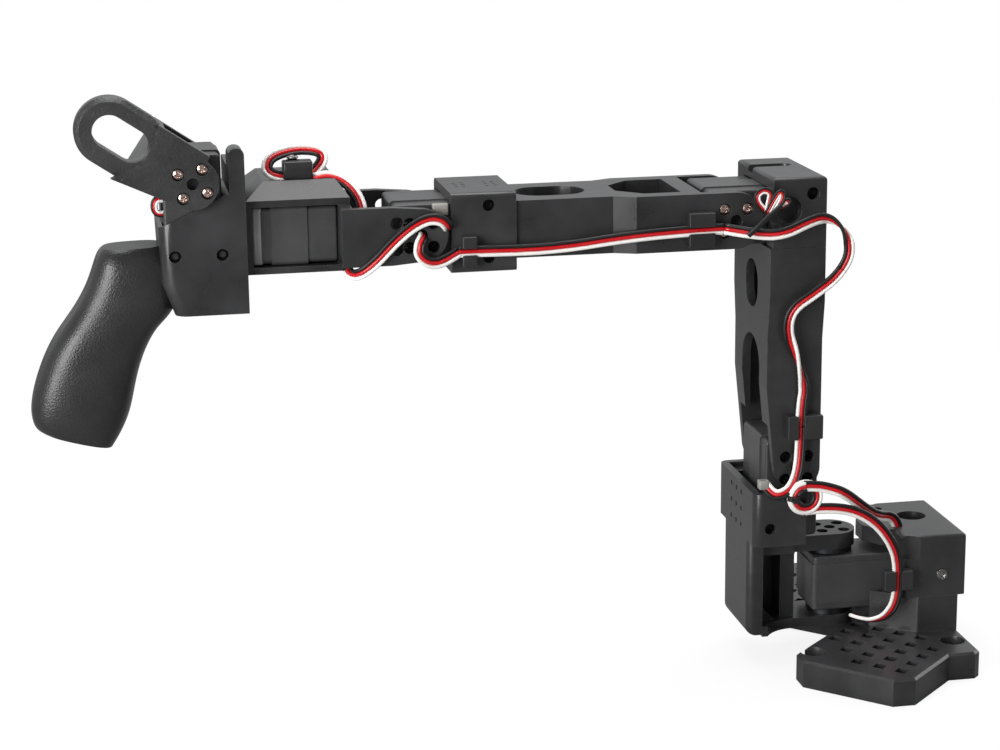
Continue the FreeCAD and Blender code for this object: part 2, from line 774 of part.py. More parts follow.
def forearm_beam():
    """Fork at the elbow, a tapered frame and a tongue that meets the flex servo."""
    x, z = elbow_axis.x, elbow_axis.z
    half = forearm_half_height
    end = x + forearm_end
    slim = servo.height / 2 + slim_wall
    side_view = across([(x, z - half), (end, z - half), (end, z + half), (x, z + half)],
                       (-plate_outer, plate_outer))
    eye = rod(2 * half, elbow_axis - SIDE * plate_outer, elbow_axis + SIDE * plate_outer)
    plan = [(x - half - 1, plate_outer), (x + taper_start, plate_outer), (x + taper_end, slim), (end, slim)]
    plan += [(px, -py) for px, py in reversed(plan)]
    beam = joined([side_view, eye]).common(upright(plan, (z - half - 1, z + half + 1)))
    inside = plate_inner
    gap_radius = servo_corner_reach + web_clearance
    gap = rod(2 * gap_radius, elbow_axis - SIDE * inside, elbow_axis + SIDE * inside)
    mouth = block((x - half - 1, x), (-inside, inside), (z - half - 1, z + half + 1))
    start = x + gap_radius + fork_wall
    width = rear_opening_half_width
    corner = x + rear_opening_end - rear_opening_taper
    rear = [(start, width), (corner, width), (x + rear_opening_end, width - rear_opening_taper)]
    rear += [(px, -py) for px, py in reversed(rear)]
    radius = front_opening_half_width
    low = z - half - cut_overrun
    depth = UP * (2 * half + 2 * cut_overrun)
    front = stadium(radius, V(x + front_opening_start + radius, 0, low),
                    V(end - front_opening_wall - radius, 0, low), depth)
    cutters = [gap, mouth, upright(rear, (low, low + depth.z)), front]
    cutters += drives["elbow"].plate_holes(plate_thickness)
    beam = minus(beam, cutters)
    fit = fit_clearance
    tongue = block((end, flex_axis.x - servo_tail - fit), (-servo.height / 2, servo.height / 2),
                   (z - servo_width / 2 + fit, z + servo_width / 2 - fit))
    return joined([beam, tongue])


def wrist_motor_holder():
    """Sleeve that holds the flex servo on the end of the forearm."""
    z = flex_axis.z
    x = (elbow_axis.x + forearm_end, flex_axis.x - link_end_radius - sleeve_end_gap)
    hole_side = servo.height / 2 + fit_clearance
    hole_half = servo_width / 2 + fit_clearance
    side = hole_side + sleeve_side
    top = z + hole_half + sleeve_roof
    sleeve = block(x, (-side, side), (z - hole_half - sleeve_floor, top))
    sleeve = rounded(sleeve, sleeve_round, lambda e: runs_along(e, AHEAD))
    cutters = [block((x[0] - 1, x[1] + 1), (-hole_side, hole_side), (z - hole_half, z + hole_half))]
    for rise in (-sleeve_hole_spread, sleeve_hole_spread):
        at = V(x[0] + sleeve_hole_reach, side, z + rise)
        cutters += both_sides(rod(sleeve_hole, at - SIDE * sleeve_hole_depth, at + SIDE))
    middle = (x[0] + x[1]) / 2
    for group in (-pin_group / 2, pin_group / 2):
        for row in range(pin_rows):
            for pair in (-pin_pair / 2, pin_pair / 2):
                at = V(middle + group + pair, (row - 1) * pin_pitch, top)
                cutters.append(rod(pin_hole, at - UP * pin_hole_depth, at + UP))
    return minus(sleeve, cutters)


def fork_plate(half):
    """Left plate of the wrist fork, from its round end on the flex horn to the frame."""
    x, z = flex_axis.x, flex_axis.z
    end = link_end_radius
    far = roll_axis.x - servo.height / 2 - fit_clearance
    outline = [(x, z - end), (x + half, z - half), (far, z - half), (far, z + half), (x + half, z + half),
               (x, z + end)]
    eye = rod(2 * end, flex_axis + SIDE * plate_inner, flex_axis + SIDE * plate_outer)
    return joined([across(outline, (plate_inner, plate_outer)), eye])


def sloped_roof(x, y, base):
    """Roof over the roll servo's frame that slopes in on every side."""
    low = [V(x[0], y[0], base), V(x[1], y[0], base), V(x[1], y[1], base), V(x[0], y[1], base)]
    inward = [(roof_rear_step, roof_side_step), (-roof_front_step, roof_side_step),
              (-roof_front_step, -roof_side_step), (roof_rear_step, -roof_side_step)]
    high = [corner + V(along, beside, roof_height) for corner, (along, beside) in zip(low, inward)]
    return Part.makeLoft([Part.makePolygon(ring + ring[:1]) for ring in (low, high)], True, True)


def wrist_link():
    """Fork on the flex horns with the roll servo's frame and its sloped roof."""
    x, z = flex_axis.x, flex_axis.z
    half = forearm_half_height
    servo_back = roll_axis.x - servo.height / 2 - fit_clearance
    servo_end = roll_axis.x + servo.height / 2 + fit_clearance
    back = servo_back - frame_back_wall
    length = (back, servo_end + frame_front_wall)
    hole_half = servo_width / 2 + fit_clearance
    frame_half = hole_half + frame_wall
    near = shaft_to_end + frame_rim
    width = (-servo_tail - fit_clearance - frame_rear_wall, near)
    frame = block(length, width, (z - frame_half, z + frame_half))
    wall = block((back, servo_back), (-plate_outer, plate_outer), (z - half, z + half))
    roof = sloped_roof(length, width, z + frame_half)
    link = joined(both_sides(fork_plate(half)) + [wall, frame, roof])
    pocket = block((servo_back, servo_end), (-servo_tail - fit_clearance, near + 1),
                   (z - hole_half, z + hole_half))
    horn_hole = rod(horn_diameter + 2 * horn_room, roll_axis, roll_axis + AHEAD * servo.height)
    cutters = [pocket, horn_hole] + drives["flex"].plate_holes(plate_thickness)
    for spread in (-link_hole_spread, link_hole_spread):
        at = V(x + link_hole_reach, 0, z + spread)
        hole = rod(link_hole, at + SIDE * (plate_inner - 1), at + SIDE * (plate_outer + 1))
        cutters += both_sides(hole)
    return minus(link, cutters)


def handle_block():
    """Housing of the trigger servo, with a back wall and a taller cheek on the left."""
    x, z = handle_plane, flex_axis.z
    front = x + handle_front
    side = handle_half_width
    outline = [(x, z + handle_bottom), (x + handle_front_low, z + handle_bottom),
               (x + handle_knee_front, z + handle_knee), (front, z + handle_lip),
               (x + cheek_depth, z + handle_lip_back), (x, z + handle_lip_back)]
    body = across(outline, (-side, side))
    body = rounded(body, handle_corner, lambda e: e.BoundBox.XMin > x + handle_front_low - 1
                   and not runs_along(e, SIDE) and e.BoundBox.ZMax < z + handle_lip + 1)
    cheek = block((x, x + cheek_depth), (cheek_side, side), (z, z + cheek_height))
    cheek = rounded(cheek, cheek_round, lambda e: runs_along(e, SIDE) and e.BoundBox.ZMin > z + 1)
    wall = block((x, x + cheek_depth), (-side, cheek_side), (z, z + back_wall_height))
    body = joined([body, cheek, wall])
    half = servo_width / 2 + fit_clearance
    servo_side = servo.height / 2 + fit_clearance
    bottom = trigger_axis.z - servo_tail
    pocket = block((trigger_axis.x - half, trigger_axis.x + half), (-servo_side, servo_side),
                   (bottom, z + 2 * cheek_height))
    reach = SIDE * (2 * side)
    horn_hole = rod(horn_diameter + 2 * horn_room, trigger_axis - reach, trigger_axis + reach)
    cutters = [pocket, horn_hole] + drives["roll"].plate_holes(trigger_reach - half, 1)
    for reach in (handle_hole_rear, handle_hole_front):
        at = V(x + reach, side, z + handle_hole_rise)
        cutters += both_sides(rod(handle_hole, at - SIDE * handle_hole_depth, at + SIDE))
    return minus(body, cutters)


def grip_section(station):
    """Rounded outline of the grip across one station."""
    x, z = handle_plane, flex_axis.z
    front = V(x + station.front_x, 0, z + station.front_z)
    rear = V(x + station.rear_x, 0, z + station.rear_z)
    middle = (front + rear) / 2
    points = []
    for i in range(grip_points):
        angle = 2 * math.pi * (i + 0.5) / grip_points
        along = math.copysign(abs(math.cos(angle)) ** (2 / grip_squareness), math.cos(angle))
        beside = math.copysign(abs(math.sin(angle)) ** (2 / grip_squareness), math.sin(angle))
        points.append(middle + (front - middle) * along + SIDE * (station.half_width * beside))
    curve = Part.BSplineCurve()
    curve.interpolate(points, PeriodicFlag=True)
    return Part.Wire(curve.toShape())


def grip():
    """Pistol grip, lofted through its stations and fitted to the handle block."""
    x, z = handle_plane, flex_axis.z
    body = Part.makeLoft([grip_section(station) for station in grip_stations], True, False)
    room = across([(x + handle_front_low, z + handle_bottom), (x + handle_knee_front, z + handle_knee),
                   (x + handle_front, z + handle_lip), (x, z + handle_lip), (x, z + handle_bottom)],
                  (-2 * handle_half_width, 2 * handle_half_width))
    return body.cut(room)


def trigger_ring():
    """Yoke on the trigger horns that ends in a finger ring."""
    x, z = trigger_axis.x, trigger_axis.z
    near, far = (plate_inner, plate_outer), (-plate_outer, -plate_inner)
    radius = trigger_end_radius
    bridge_start = servo_corner_reach + bridge_clearance
    ring_start = x + ring_hole_start + ring_hole_radius
    ring_end = x + ring_hole_start + ring_hole_length - ring_hole_radius
    face = [(x, z - radius), (x + trigger_front_low, z - trigger_front_drop),
            (x + trigger_throat, z), (x + trigger_front_high, z + trigger_rail), (x, z + trigger_rail),
            (x, z)]
    eye = rod(2 * radius, trigger_axis + SIDE * near[0], trigger_axis + SIDE * near[1])
    arm = block((x, x + ring_hole_start), far, (z - radius, z + radius))
    far_eye = rod(2 * radius, trigger_axis + SIDE * far[0], trigger_axis + SIDE * far[1])
    bridge = block((x + bridge_start, x + ring_hole_start), (far[0], near[1]), (z - radius, z + radius))
    back = plate_outer - ring_setback - ring_depth
    outer = stadium(ring_hole_radius + ring_wall, V(ring_start, back, z), V(ring_end, back, z),
                    SIDE * ring_depth)
    rim = [e for e in outer.Edges if e.BoundBox.YLength < ring_chamfer and e.BoundBox.XMax > ring_end - 1]
    outer = outer.makeChamfer(ring_chamfer, rim)
    outer = outer.cut(block((x - 2 * radius, x + bridge_start), (-plate_inner, plate_inner),
                            (z - 4 * radius, z + 4 * radius)))
    hole = stadium(ring_hole_radius, V(ring_start, -2 * plate_outer, z), V(ring_end, -2 * plate_outer, z),
                   SIDE * (4 * plate_outer))
    yoke = joined([across(face, near), eye, arm, far_eye, bridge, outer]).cut(hole)
    yoke = minus(yoke, drives["trigger"].plate_holes(plate_thickness))
    yoke.rotate(trigger_axis, SIDE, -trigger_angle)
    return yoke


def turned_trigger(shape):
    """A trigger piece raised to the ring's rest angle."""
    shape = shape.copy()
    shape.rotate(trigger_axis, SIDE, -trigger_angle)
    return shape


def lead(points):
    """Round lead along straight runs that are joined by tangent arcs."""
    edges = []
    start = points[0]
    radii = []
    for before, corner, after in zip(points, points[1:], points[2:]):
        back = before - corner
        ahead = after - corner
        trim = lead_bend * min(back.Length, ahead.Length)
        half_turn = (math.pi - back.getAngle(ahead)) / 2
        radii.append(trim / math.tan(half_turn))
        back.normalize()
        ahead.normalize()
        inward = back + ahead
        inward.normalize()
        sagitta = radii[-1] / math.cos(half_turn) - radii[-1]
        enter, leave = corner + back * trim, corner + ahead * trim
        edges.append(Part.LineSegment(start, enter).toShape())
        edges.append(Part.Arc(enter, corner + inward * sagitta, leave).toShape())
        start = leave
    edges.append(Part.LineSegment(start, points[-1]).toShape())
    path = Part.Wire(edges)
    section = Part.Wire(Part.makeCircle(lead_diameter / 2, points[0], points[1] - points[0]))
    tube = path.makePipeShell([section], True, True)
    share = tube.Volume / (path.Length * math.pi * lead_diameter ** 2 / 4)
    print("lead bends", [round(r, 1) for r in radii], "length", round(path.Length), "fill", round(share, 3))
    return tube


def lead_clip(foot, along, out, width, length, offset=0):
    """Snap clip with a lipped groove, standing on a face at the given foot."""
    gap = lead_diameter / 2 + lead_clearance
    lip = clip_height - clip_lip_height
    half = width / 2
    groove = [(offset + gap, clip_base), (offset + gap, lip), (offset + gap - clip_lip, clip_height)]
    other = [(2 * offset - x, z) for x, z in reversed(groove)]
    outline = [(-half, 0), (-half, clip_height)] + other + groove + [(half, clip_height), (half, 0)]
    body = across(outline, (-length / 2, length / 2))
    body.Placement = FreeCAD.Placement(foot, FreeCAD.Rotation(along.cross(out), along, out, "ZXY"))
    return body


def base_clip():
    """Clip on the left face of the base motor cap, at its front edge."""
    foot = V(base_clip_reach, cap_half_width, cap_low + base_clip_rise)
    return lead_clip(foot, UP, SIDE, base_clip_width, base_clip_length)


def upper_arm_clip():
    """Clip on the left face of the upper arm."""
    foot = lift_axis + V(arm_clip_reach, plate_outer, arm_clip_rise)
    return lead_clip(foot, UP, SIDE, arm_clip_width, arm_clip_length, -arm_clip_offset)


def forearm_clips():
    """Clips on the forearm's left face and on the wrist motor holder."""
    first = V(elbow_axis.x + elbow_clip_reach, plate_outer, elbow_axis.z - elbow_clip_drop)
    sleeve_face = servo.height / 2 + fit_clearance + sleeve_side
    second = V(elbow_axis.x + forearm_end + wrist_clip_reach, sleeve_face, flex_axis.z - wrist_clip_drop)
    return Part.Compound([
        lead_clip(first, AHEAD, SIDE, elbow_clip_width, elbow_clip_length),
        lead_clip(second, AHEAD, SIDE, wrist_clip_width, wrist_clip_length),
    ])


def roof_top():
    """Height of the flat on the wrist frame's roof."""
    return flex_axis.z + servo_width / 2 + fit_clearance + frame_wall + roof_height


def tower_foot_point():
    """Where the cable post stands on the roof."""
    return V(handle_plane - tower_reach, tower_side, roof_top())


def roll_clip():
    """Cable post on the wrist frame's roof, with an eye across it."""
    at = tower_foot_point()
    foot = block((-tower_length / 2, tower_length / 2), (-tower_width / 2, tower_width / 2),
                 (0, tower_foot))
    half = tower_post / 2
    post = block((-half, half), (-half, half), (0, tower_height))
    post = rounded(post, tower_round, lambda e: runs_along(e, UP))
    eye = rod(tower_eye, V(0, -half - 1, tower_height / 2), V(0, half + 1, tower_height / 2))
    body = joined([foot, post]).cut(eye)
    body.translate(at)
    return body


def pan_screw(at, out):
    """Small pan-head screw seated on a face."""
    screw = rod(small_screw_head, at, at + out * small_screw_sink)
    return rounded(screw, small_screw_sink / 2,
                   lambda e: (e.CenterOfMass - at - out * small_screw_sink).Length < 0.1)


def elbow_cap_screw():
    """Screw in the slot on top of the elbow motor cap."""
    top = elbow_axis.z + servo_width / 2 + elbow_cap_roof - elbow_slot_depth
    return pan_screw(V(elbow_slot_end + elbow_slot_width / 2, elbow_slot_side, top), UP)


def base_cap_screw():
    """Screw on the left face of the base motor cap."""
    return pan_screw(V(cap_screw_reach, cap_half_width, cap_low + cap_screw_rise), SIDE)


def shoulder_coil():
    """Slack of the shoulder leads, coiled on the motor holder's left face."""
    side = holder_half_width + slack_stand
    at = V(lift_reach + coil_reach, side, lift_height - coil_drop)
    return at, Part.makeTorus(coil_radius, lead_diameter / 2, at, SIDE)


def tie_band(at, along, radius):
    """Cable tie round a lead, with its locking head."""
    start = at - along * (tie_width / 2)
    end = at + along * (tie_width / 2)
    outer = radius + lead_clearance + tie_thickness
    head = Part.makeBox(tie_head, tie_width, tie_head)
    head.translate(V(-tie_head / 2, -tie_width / 2, 0))
    turn = FreeCAD.Rotation(along.cross(SIDE), along, SIDE, "ZXY")
    seat = FreeCAD.Placement(at + SIDE * (outer - tie_thickness / 2), turn)
    head.Placement = seat.multiply(head.Placement)
    band = rod(2 * outer, start, end).fuse(head)
    return band.cut(rod(2 * (radius + lead_clearance), start - along, end + along))


def shoulder_tie():
    """Cable tie on the coiled slack."""
    at, coil = shoulder_coil()
    return tie_band(at + V(coil_radius, 0, 0), UP, lead_diameter / 2)


def elbow_hank():
    """Folded slack of the elbow lead beside the elbow motor cap."""
    side = beam_top_half_width + slack_stand
    high = elbow_axis + V(hank_high_reach, side, hank_high_rise)
    low = elbow_axis + V(hank_low_reach, side, -hank_low_drop)
    run = low - high
    run.normalize()
    out = run.cross(SIDE) * hank_radius
    path = Part.Wire([edge.toShape() for edge in (
        Part.LineSegment(high + out, low + out),
        Part.Arc(low + out, low + run * hank_radius, low - out),
        Part.LineSegment(low - out, high - out),
        Part.Arc(high - out, high - run * hank_radius, high + out))])
    section = Part.Wire(Part.makeCircle(lead_diameter / 2, high + out, run))
    return (high + low) / 2, run, path.makePipeShell([section], True, True)


def elbow_tie():
    """Cable tie round both runs of the folded slack."""
    at, run, hank = elbow_hank()
    out = run.cross(SIDE) * hank_radius
    inner = lead_diameter / 2 + lead_clearance
    start = at - run * (tie_width / 2)
    band = stadium(inner + tie_thickness, start + out, start - out, run * tie_width)
    start -= run * cut_overrun
    return band.cut(stadium(inner, start + out, start - out, run * (tie_width + 2 * cut_overrun)))


def offsets(axis, places):
    """Points given as offsets from a joint axis."""
    return [axis + V(*place) for place in places]


def leads():
    """Flat servo leads as round tubes along their clipped routes."""
    arm_side = plate_outer + lead_stand
    sleeve_face = servo.height / 2 + fit_clearance + sleeve_side + lead_stand
    base_x = base_clip_reach
    base_side = cap_half_width + lead_stand
    base_z = cap_low + base_clip_rise
    arm_clip = lift_axis + V(arm_clip_reach + arm_clip_offset, arm_side, arm_clip_rise)
    elbow_clip = elbow_axis + V(elbow_clip_reach, arm_side, -elbow_clip_drop)
    wrist_clip = elbow_axis + V(forearm_end + wrist_clip_reach, sleeve_face, -wrist_clip_drop)
    elbow_start = elbow_clip - AHEAD * elbow_lead_run
    wrist_end = wrist_clip + AHEAD * wrist_lead_run
    base_run = [V(base_x, base_side, base_z - base_lead_run), V(base_x, base_side, base_z + base_lead_run)]
    handle = V(handle_plane, 0, flex_axis.z)
    split = UP * lead_split
    along = AHEAD * lead_split
    return {
        "lead_pan": lead(offsets(ORIGIN, pan_route) + base_run + offsets(lift_axis, shoulder_route)),
        "lead_pan_feed": lead(offsets(lift_axis, feed_route) + [cap_pins()[1] - UP * feed_depth]),
        "lead_lift": lead(offsets(lift_axis, lift_route) + [arm_clip - split]),
        "lead_elbow": lead([arm_clip + split] + offsets(lift_axis, upper_arm_route)
                           + offsets(elbow_axis, elbow_route) + [elbow_start - along]),
        "lead_forearm": lead([elbow_start + along, elbow_clip] + offsets(elbow_axis, forearm_route)
                             + [wrist_clip, wrist_end - along]),
        "lead_flex": lead([wrist_end + along] + offsets(flex_axis, flex_route)),
        "lead_wrist": lead(offsets(flex_axis, wrist_route)),
        "lead_roll": lead(offsets(handle, roll_route)),
        "lead_trigger": lead(offsets(handle, trigger_route)),
    }


def build():
    """Every piece of the arm by node name."""
    pieces = {
        "base_foot": base_foot(),
        "base_motor_cap": base_motor_cap(),
        "shoulder_bracket": shoulder_bracket(),
        "shoulder_motor_holder": shoulder_motor_holder(),
        "upper_arm_beam": upper_arm_beam(),
        "elbow_motor_cap": elbow_motor_cap(),
        "forearm_beam": forearm_beam(),
        "wrist_motor_holder": wrist_motor_holder(),
        "wrist_link": wrist_link(),
        "handle_block": handle_block(),
        "grip": grip(),
        "trigger_ring": trigger_ring(),
        "base_clip": base_clip(),
        "upper_arm_clip": upper_arm_clip(),
        "forearm_clips": forearm_clips(),
        "roll_clip": roll_clip(),
        "roll_clip_screw": pan_screw(tower_foot_point() + V(0, 0, tower_height), UP),
        "elbow_cap_screw": elbow_cap_screw(),
        "base_cap_screw": base_cap_screw(),
        "shoulder_coil": shoulder_coil()[1],
        "shoulder_tie": shoulder_tie(),
        "elbow_hank": elbow_hank()[2],
        "elbow_tie": elbow_tie(),
    }
    for name, drive in drives.items():
        pieces[name + "_servo_case"] = drive.case()
        pieces[name + "_servo_covers"] = drive.covers()
        count = 1 if name == "roll" else 2
        pieces[name + "_horns"] = drive.horns(count)
        pieces[name + "_screws"] = drive.screws(count)
    for name in ("trigger_horns", "trigger_screws"):
        pieces[name] = turned_trigger(pieces[name])
    pieces.update(leads())
    return pieces


os.makedirs("parts", exist_ok=True)
for node, shape in build().items():
    shape.exportStep(os.path.join("parts", node + ".step"))
    print(node, len(shape.Solids), shape.isValid(), round(shape.Volume, 1))
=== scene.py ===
"""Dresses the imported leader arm: camera, studio, finishes, ribbon leads, screws and plugs.

Metres, in the frame of the CAD model: the origin lies on the shoulder-pan axis at the underside of
the foot, +X is the reach, +Y is the arm's left side and +Z is up. The routes of the leads and the
corners of small pieces are written in millimetres, as the CAD source has them.
"""

import json
import logging
import math
from abc import ABC, abstractmethod
from dataclasses import dataclass
from enum import Enum
from typing import Any, Dict, List, Optional, Sequence, Tuple, Union

import bpy
import numpy as np
from mathutils import Matrix, Vector


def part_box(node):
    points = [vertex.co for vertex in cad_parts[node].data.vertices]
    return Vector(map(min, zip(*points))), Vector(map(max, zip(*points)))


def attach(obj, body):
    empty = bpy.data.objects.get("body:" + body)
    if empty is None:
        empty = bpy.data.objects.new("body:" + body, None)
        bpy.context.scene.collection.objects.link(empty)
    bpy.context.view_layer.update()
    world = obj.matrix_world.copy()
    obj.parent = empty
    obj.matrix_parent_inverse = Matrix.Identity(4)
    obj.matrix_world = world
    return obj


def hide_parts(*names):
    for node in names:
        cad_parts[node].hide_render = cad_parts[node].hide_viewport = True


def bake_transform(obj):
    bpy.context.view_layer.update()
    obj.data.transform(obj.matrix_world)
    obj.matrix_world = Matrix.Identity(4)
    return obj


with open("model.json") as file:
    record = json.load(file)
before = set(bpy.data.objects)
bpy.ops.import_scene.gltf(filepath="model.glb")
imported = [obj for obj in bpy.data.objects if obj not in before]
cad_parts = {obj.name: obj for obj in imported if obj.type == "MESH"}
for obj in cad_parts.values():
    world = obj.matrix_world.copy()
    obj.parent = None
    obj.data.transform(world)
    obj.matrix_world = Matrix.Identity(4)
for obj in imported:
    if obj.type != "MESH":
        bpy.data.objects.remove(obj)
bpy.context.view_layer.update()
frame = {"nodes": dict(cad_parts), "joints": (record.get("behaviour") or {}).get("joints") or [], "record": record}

log = logging.getLogger("leader_arm")

Span = Tuple[float, float]
Triple = Tuple[float, float, float]
Places = Union[Sequence[Triple], np.ndarray]
Turns = Tuple[Span, ...]
Tree = bpy.types.NodeTree
Socket = bpy.types.NodeSocket
Pattern = Tuple[Socket, Socket, Socket]

MM = 0.001
UP = np.array((0.0, 0.0, 1.0))
SIDE = np.array((0.0, 1.0, 0.0))
AHEAD = np.array((1.0, 0.0, 0.0))
WHITE = (1.0, 1.0, 1.0, 1.0)
# Spans that a pattern is read over: nearly all of a noise; how far a rounded edge's normal leaves
# the face, for paler edges of wear and painted highlight; the middle of a noise, for flecks; and its
# upper part, for rubbed stretches.
NOISE_SPAN: Dict[str, float] = {"From Min": 0.3, "From Max": 0.7}
RIM_SPAN: Dict[str, float] = {"From Min": 1.0, "From Max": 0.8}
FLECK_SPAN: Dict[str, float] = {"From Min": 0.35, "From Max": 0.62}
RUB_SPAN: Dict[str, float] = {"From Min": 0.4, "From Max": 0.75}
# Degrees by which the trigger's first horn screw lies above the reach.
TRIGGER_TILT = 34.4
AXES: Dict[str, np.ndarray] = {j["name"]: np.array(j["pos_m"]) for j in frame["joints"]}
BODY_OF: Dict[str, str] = {
    node: body for body, nodes in frame["record"]["behaviour"]["bodies"].items() for node in nodes
}


def linear(code: str) -> Tuple[float, float, float, float]:
    """Turns an sRGB hex colour into linear red, green, blue and alpha.

    Args:
        code: six hex digits after a hash sign.
    Returns:
        The linear colour with alpha 1.
    """
    parts = [int(code[i:i + 2], 16) / 255 for i in (1, 3, 5)]
    r, g, b = (c / 12.92 if c <= 0.04045 else ((c + 0.055) / 1.055) ** 2.4 for c in parts)
    return r, g, b, 1.0


def per_metre(size: float) -> float:
    """Texture scale at which one feature is the given number of millimetres wide."""
    return 1.0 / (size * MM)


def add(tree: Tree, kind: str, settings: Optional[Dict[Any, Any]] = None,
        links: Optional[Dict[Any, Socket]] = None) -> bpy.types.Node:
    """Adds one shader node with its settings and links.

    Args:
        tree: node tree that takes the node.
        kind: Blender's type name after "ShaderNode".
        settings: values by property name, or by the name or number of an input.
        links: sockets that feed the inputs, by name or number.
    Returns:
        The new node.
    """
    node = tree.nodes.new("ShaderNode" + kind)
    values = settings or {}
    own = [key for key in values if isinstance(key, str) and key in node.bl_rna.properties]
    for key in own:
        setattr(node, key, values[key])
    for key, value in values.items():
        if key not in own:
            node.inputs[key].default_value = value
    for key, socket in (links or {}).items():
        tree.links.new(socket, node.inputs[key])
    return node


def new_tree(name: str) -> Tuple[bpy.types.Material, Tree, Socket]:
    """Starts a node material.

    Args:
        name: name of the material.
    Returns:
        The material, its node tree, and the socket with object coordinates.
    """
    material = bpy.data.materials.new(name)
    material.use_nodes = True
    tree = material.node_tree
    tree.nodes.clear()
    return material, tree, add(tree, "TexCoord").outputs["Object"]


@dataclass(frozen=True)
class Finish(ABC):
    """What every finish has: a body colour, a second colour for its wear and tint, which on moulded
    plastic is also a painted highlight along the edges, roughness and a fine relief.

    The depth of the relief is in millimetres, and bump is its strength.
    """

    name: str
    colour: str
    worn_and_highlight: str
    roughness: Span = (0.28, 0.46)
    depth: float = 0.02
    bump: float = 0.6

    @abstractmethod
    def pattern(self, tree: Tree, where: Socket) -> Pattern:
        """Draws the patterns of the surface.

        Args:
            tree: node tree of the material.
            where: object coordinates.
        Returns:
            The share of the second colour (wear and tint, and on moulded plastic a painted edge
            highlight), the noise that the roughness follows, and the relief.
        """

    @abstractmethod
    def even(self) -> Dict[str, float]:
        """Shader values that are the same all over the surface."""

    def make(self) -> bpy.types.Material:
        """Builds the material: mixed colours, varied roughness and bump meet in one shader.

        Returns:
            The node material.
        """
        material, tree, where = new_tree(self.name)
        share, patch, relief = self.pattern(tree, where)
        low, high = self.roughness
        colour = add(tree, "Mix", {
            "data_type": "RGBA", 6: linear(self.colour), 7: linear(self.worn_and_highlight)}, {0: share})
        rough = add(tree, "MapRange", {**NOISE_SPAN, "To Min": low, "To Max": high},
                    {"Value": patch})
        bump = add(tree, "Bump", {"Strength": self.bump, "Distance": self.depth * MM},
                   {"Height": relief})
        shader = add(tree, "BsdfPrincipled", self.even(), {
            "Base Color": colour.outputs[2], "Roughness": rough.outputs[0],
            "Normal": bump.outputs[0]})
        add(tree, "OutputMaterial", None, {"Surface": shader.outputs[0]})
        return material


class Relief(Enum):
    """How the surface of a moulded piece was textured in its mould."""

    SPARK = "fine spark-eroded grain"
    PEBBLE = "rounded pebbles"
    WRINKLE = "wrinkled cast skin"


@dataclass(frozen=True)
class MouldedPlastic(Finish):
    """Moulded plastic: a matt body colour, mould grain, hand shine, and paler edges that are partly
    wear and partly a painted highlight.

    In millimetres: grain of the mould texture, patch of the hand shine, edge over which the paler
    edges run, and fleck that breaks them up. The edges' wear and highlight, and shade, are the most
    of the second colour that shows along the edges and, as random tone, in patches.
    """

    grain: float = 0.4
    mould: Relief = Relief.SPARK
    patch: float = 26.0
    edge: float = 0.7
    fleck: float = 2.2
    edge_wear_and_highlight: float = 0.5
    shade: float = 0.22
    specular: float = 0.45
    ior: float = 1.5

    def even(self) -> Dict[str, float]:
        """Reflection of a plastic."""
        return {"Specular IOR Level": self.specular, "IOR": self.ior}

    def relief(self, tree: Tree, where: Socket) -> Socket:
        """Height pattern of the mould texture.

        Args:
            tree: node tree of the material.
            where: object coordinates.
        Returns:
            The socket with the height.
        """
        scale = per_metre(self.grain)
        if self.mould is Relief.PEBBLE:
            cells = {"feature": "SMOOTH_F1", "Scale": scale, "Smoothness": 0.6, "Randomness": 0.9}
            return add(tree, "TexVoronoi", cells, {"Vector": where}).outputs["Distance"]
        folds = {"Scale": scale, "Detail": 3.0, "Roughness": 0.55}
        if self.mould is Relief.WRINKLE:
            folds.update({"Detail": 5.0, "Distortion": 1.3})
        return add(tree, "TexNoise", folds, {"Vector": where}).outputs[0]

    def wear_and_highlight_mask(self, tree: Tree, where: Socket) -> Socket:
        """Paler edges, partly wear and partly painted highlight, where a rounded edge's normal leaves
        the face's own normal, broken up by flecks.

        Args:
            tree: node tree of the material.
            where: object coordinates.
        Returns:
            The socket with the amount of wear and painted highlight.
        """
        # Painted highlight and wear: rounded edges take the paler colour, which partly stands for the light they
        # catch.
        rounded = add(tree, "Bevel", {"samples": 4, "Radius": self.edge * MM}).outputs["Normal"]
        flat = add(tree, "NewGeometry").outputs["Normal"]
        facing = add(tree, "VectorMath", {"operation": "DOT_PRODUCT"}, {0: rounded, 1: flat})
        rim = add(tree, "MapRange", {**RIM_SPAN, "To Max": self.edge_wear_and_highlight},
                  {"Value": facing.outputs["Value"]})
        fleck = add(tree, "TexNoise", {
            "Scale": per_metre(self.fleck), "Detail": 4.0, "Roughness": 0.7}, {"Vector": where})
        broken = add(tree, "MapRange", FLECK_SPAN, {"Value": fleck.outputs[0]})
        return add(tree, "Math", {"operation": "MULTIPLY"},
                   {0: rim.outputs[0], 1: broken.outputs[0]}).outputs[0]

    def pattern(self, tree: Tree, where: Socket) -> Pattern:
        """Draws paler edges of wear and painted highlight, patches of hand shine and the mould texture.

        Args:
            tree: node tree of the material.
            where: object coordinates.
        Returns:
            The share of the paler colour at the edges and in patches, the noise that the roughness
            follows, and the relief.
        """
        patch = add(tree, "TexNoise", {
            "Scale": per_metre(self.patch), "Detail": 5.0, "Roughness": 0.62},
            {"Vector": where}).outputs[0]
        shade = add(tree, "MapRange", {**NOISE_SPAN, "To Max": self.shade}, {"Value": patch})
        share = add(tree, "Math", {"operation": "MAXIMUM"},
                    {0: self.wear_and_highlight_mask(tree, where), 1: shade.outputs[0]})
        return share.outputs[0], patch, self.relief(tree, where)


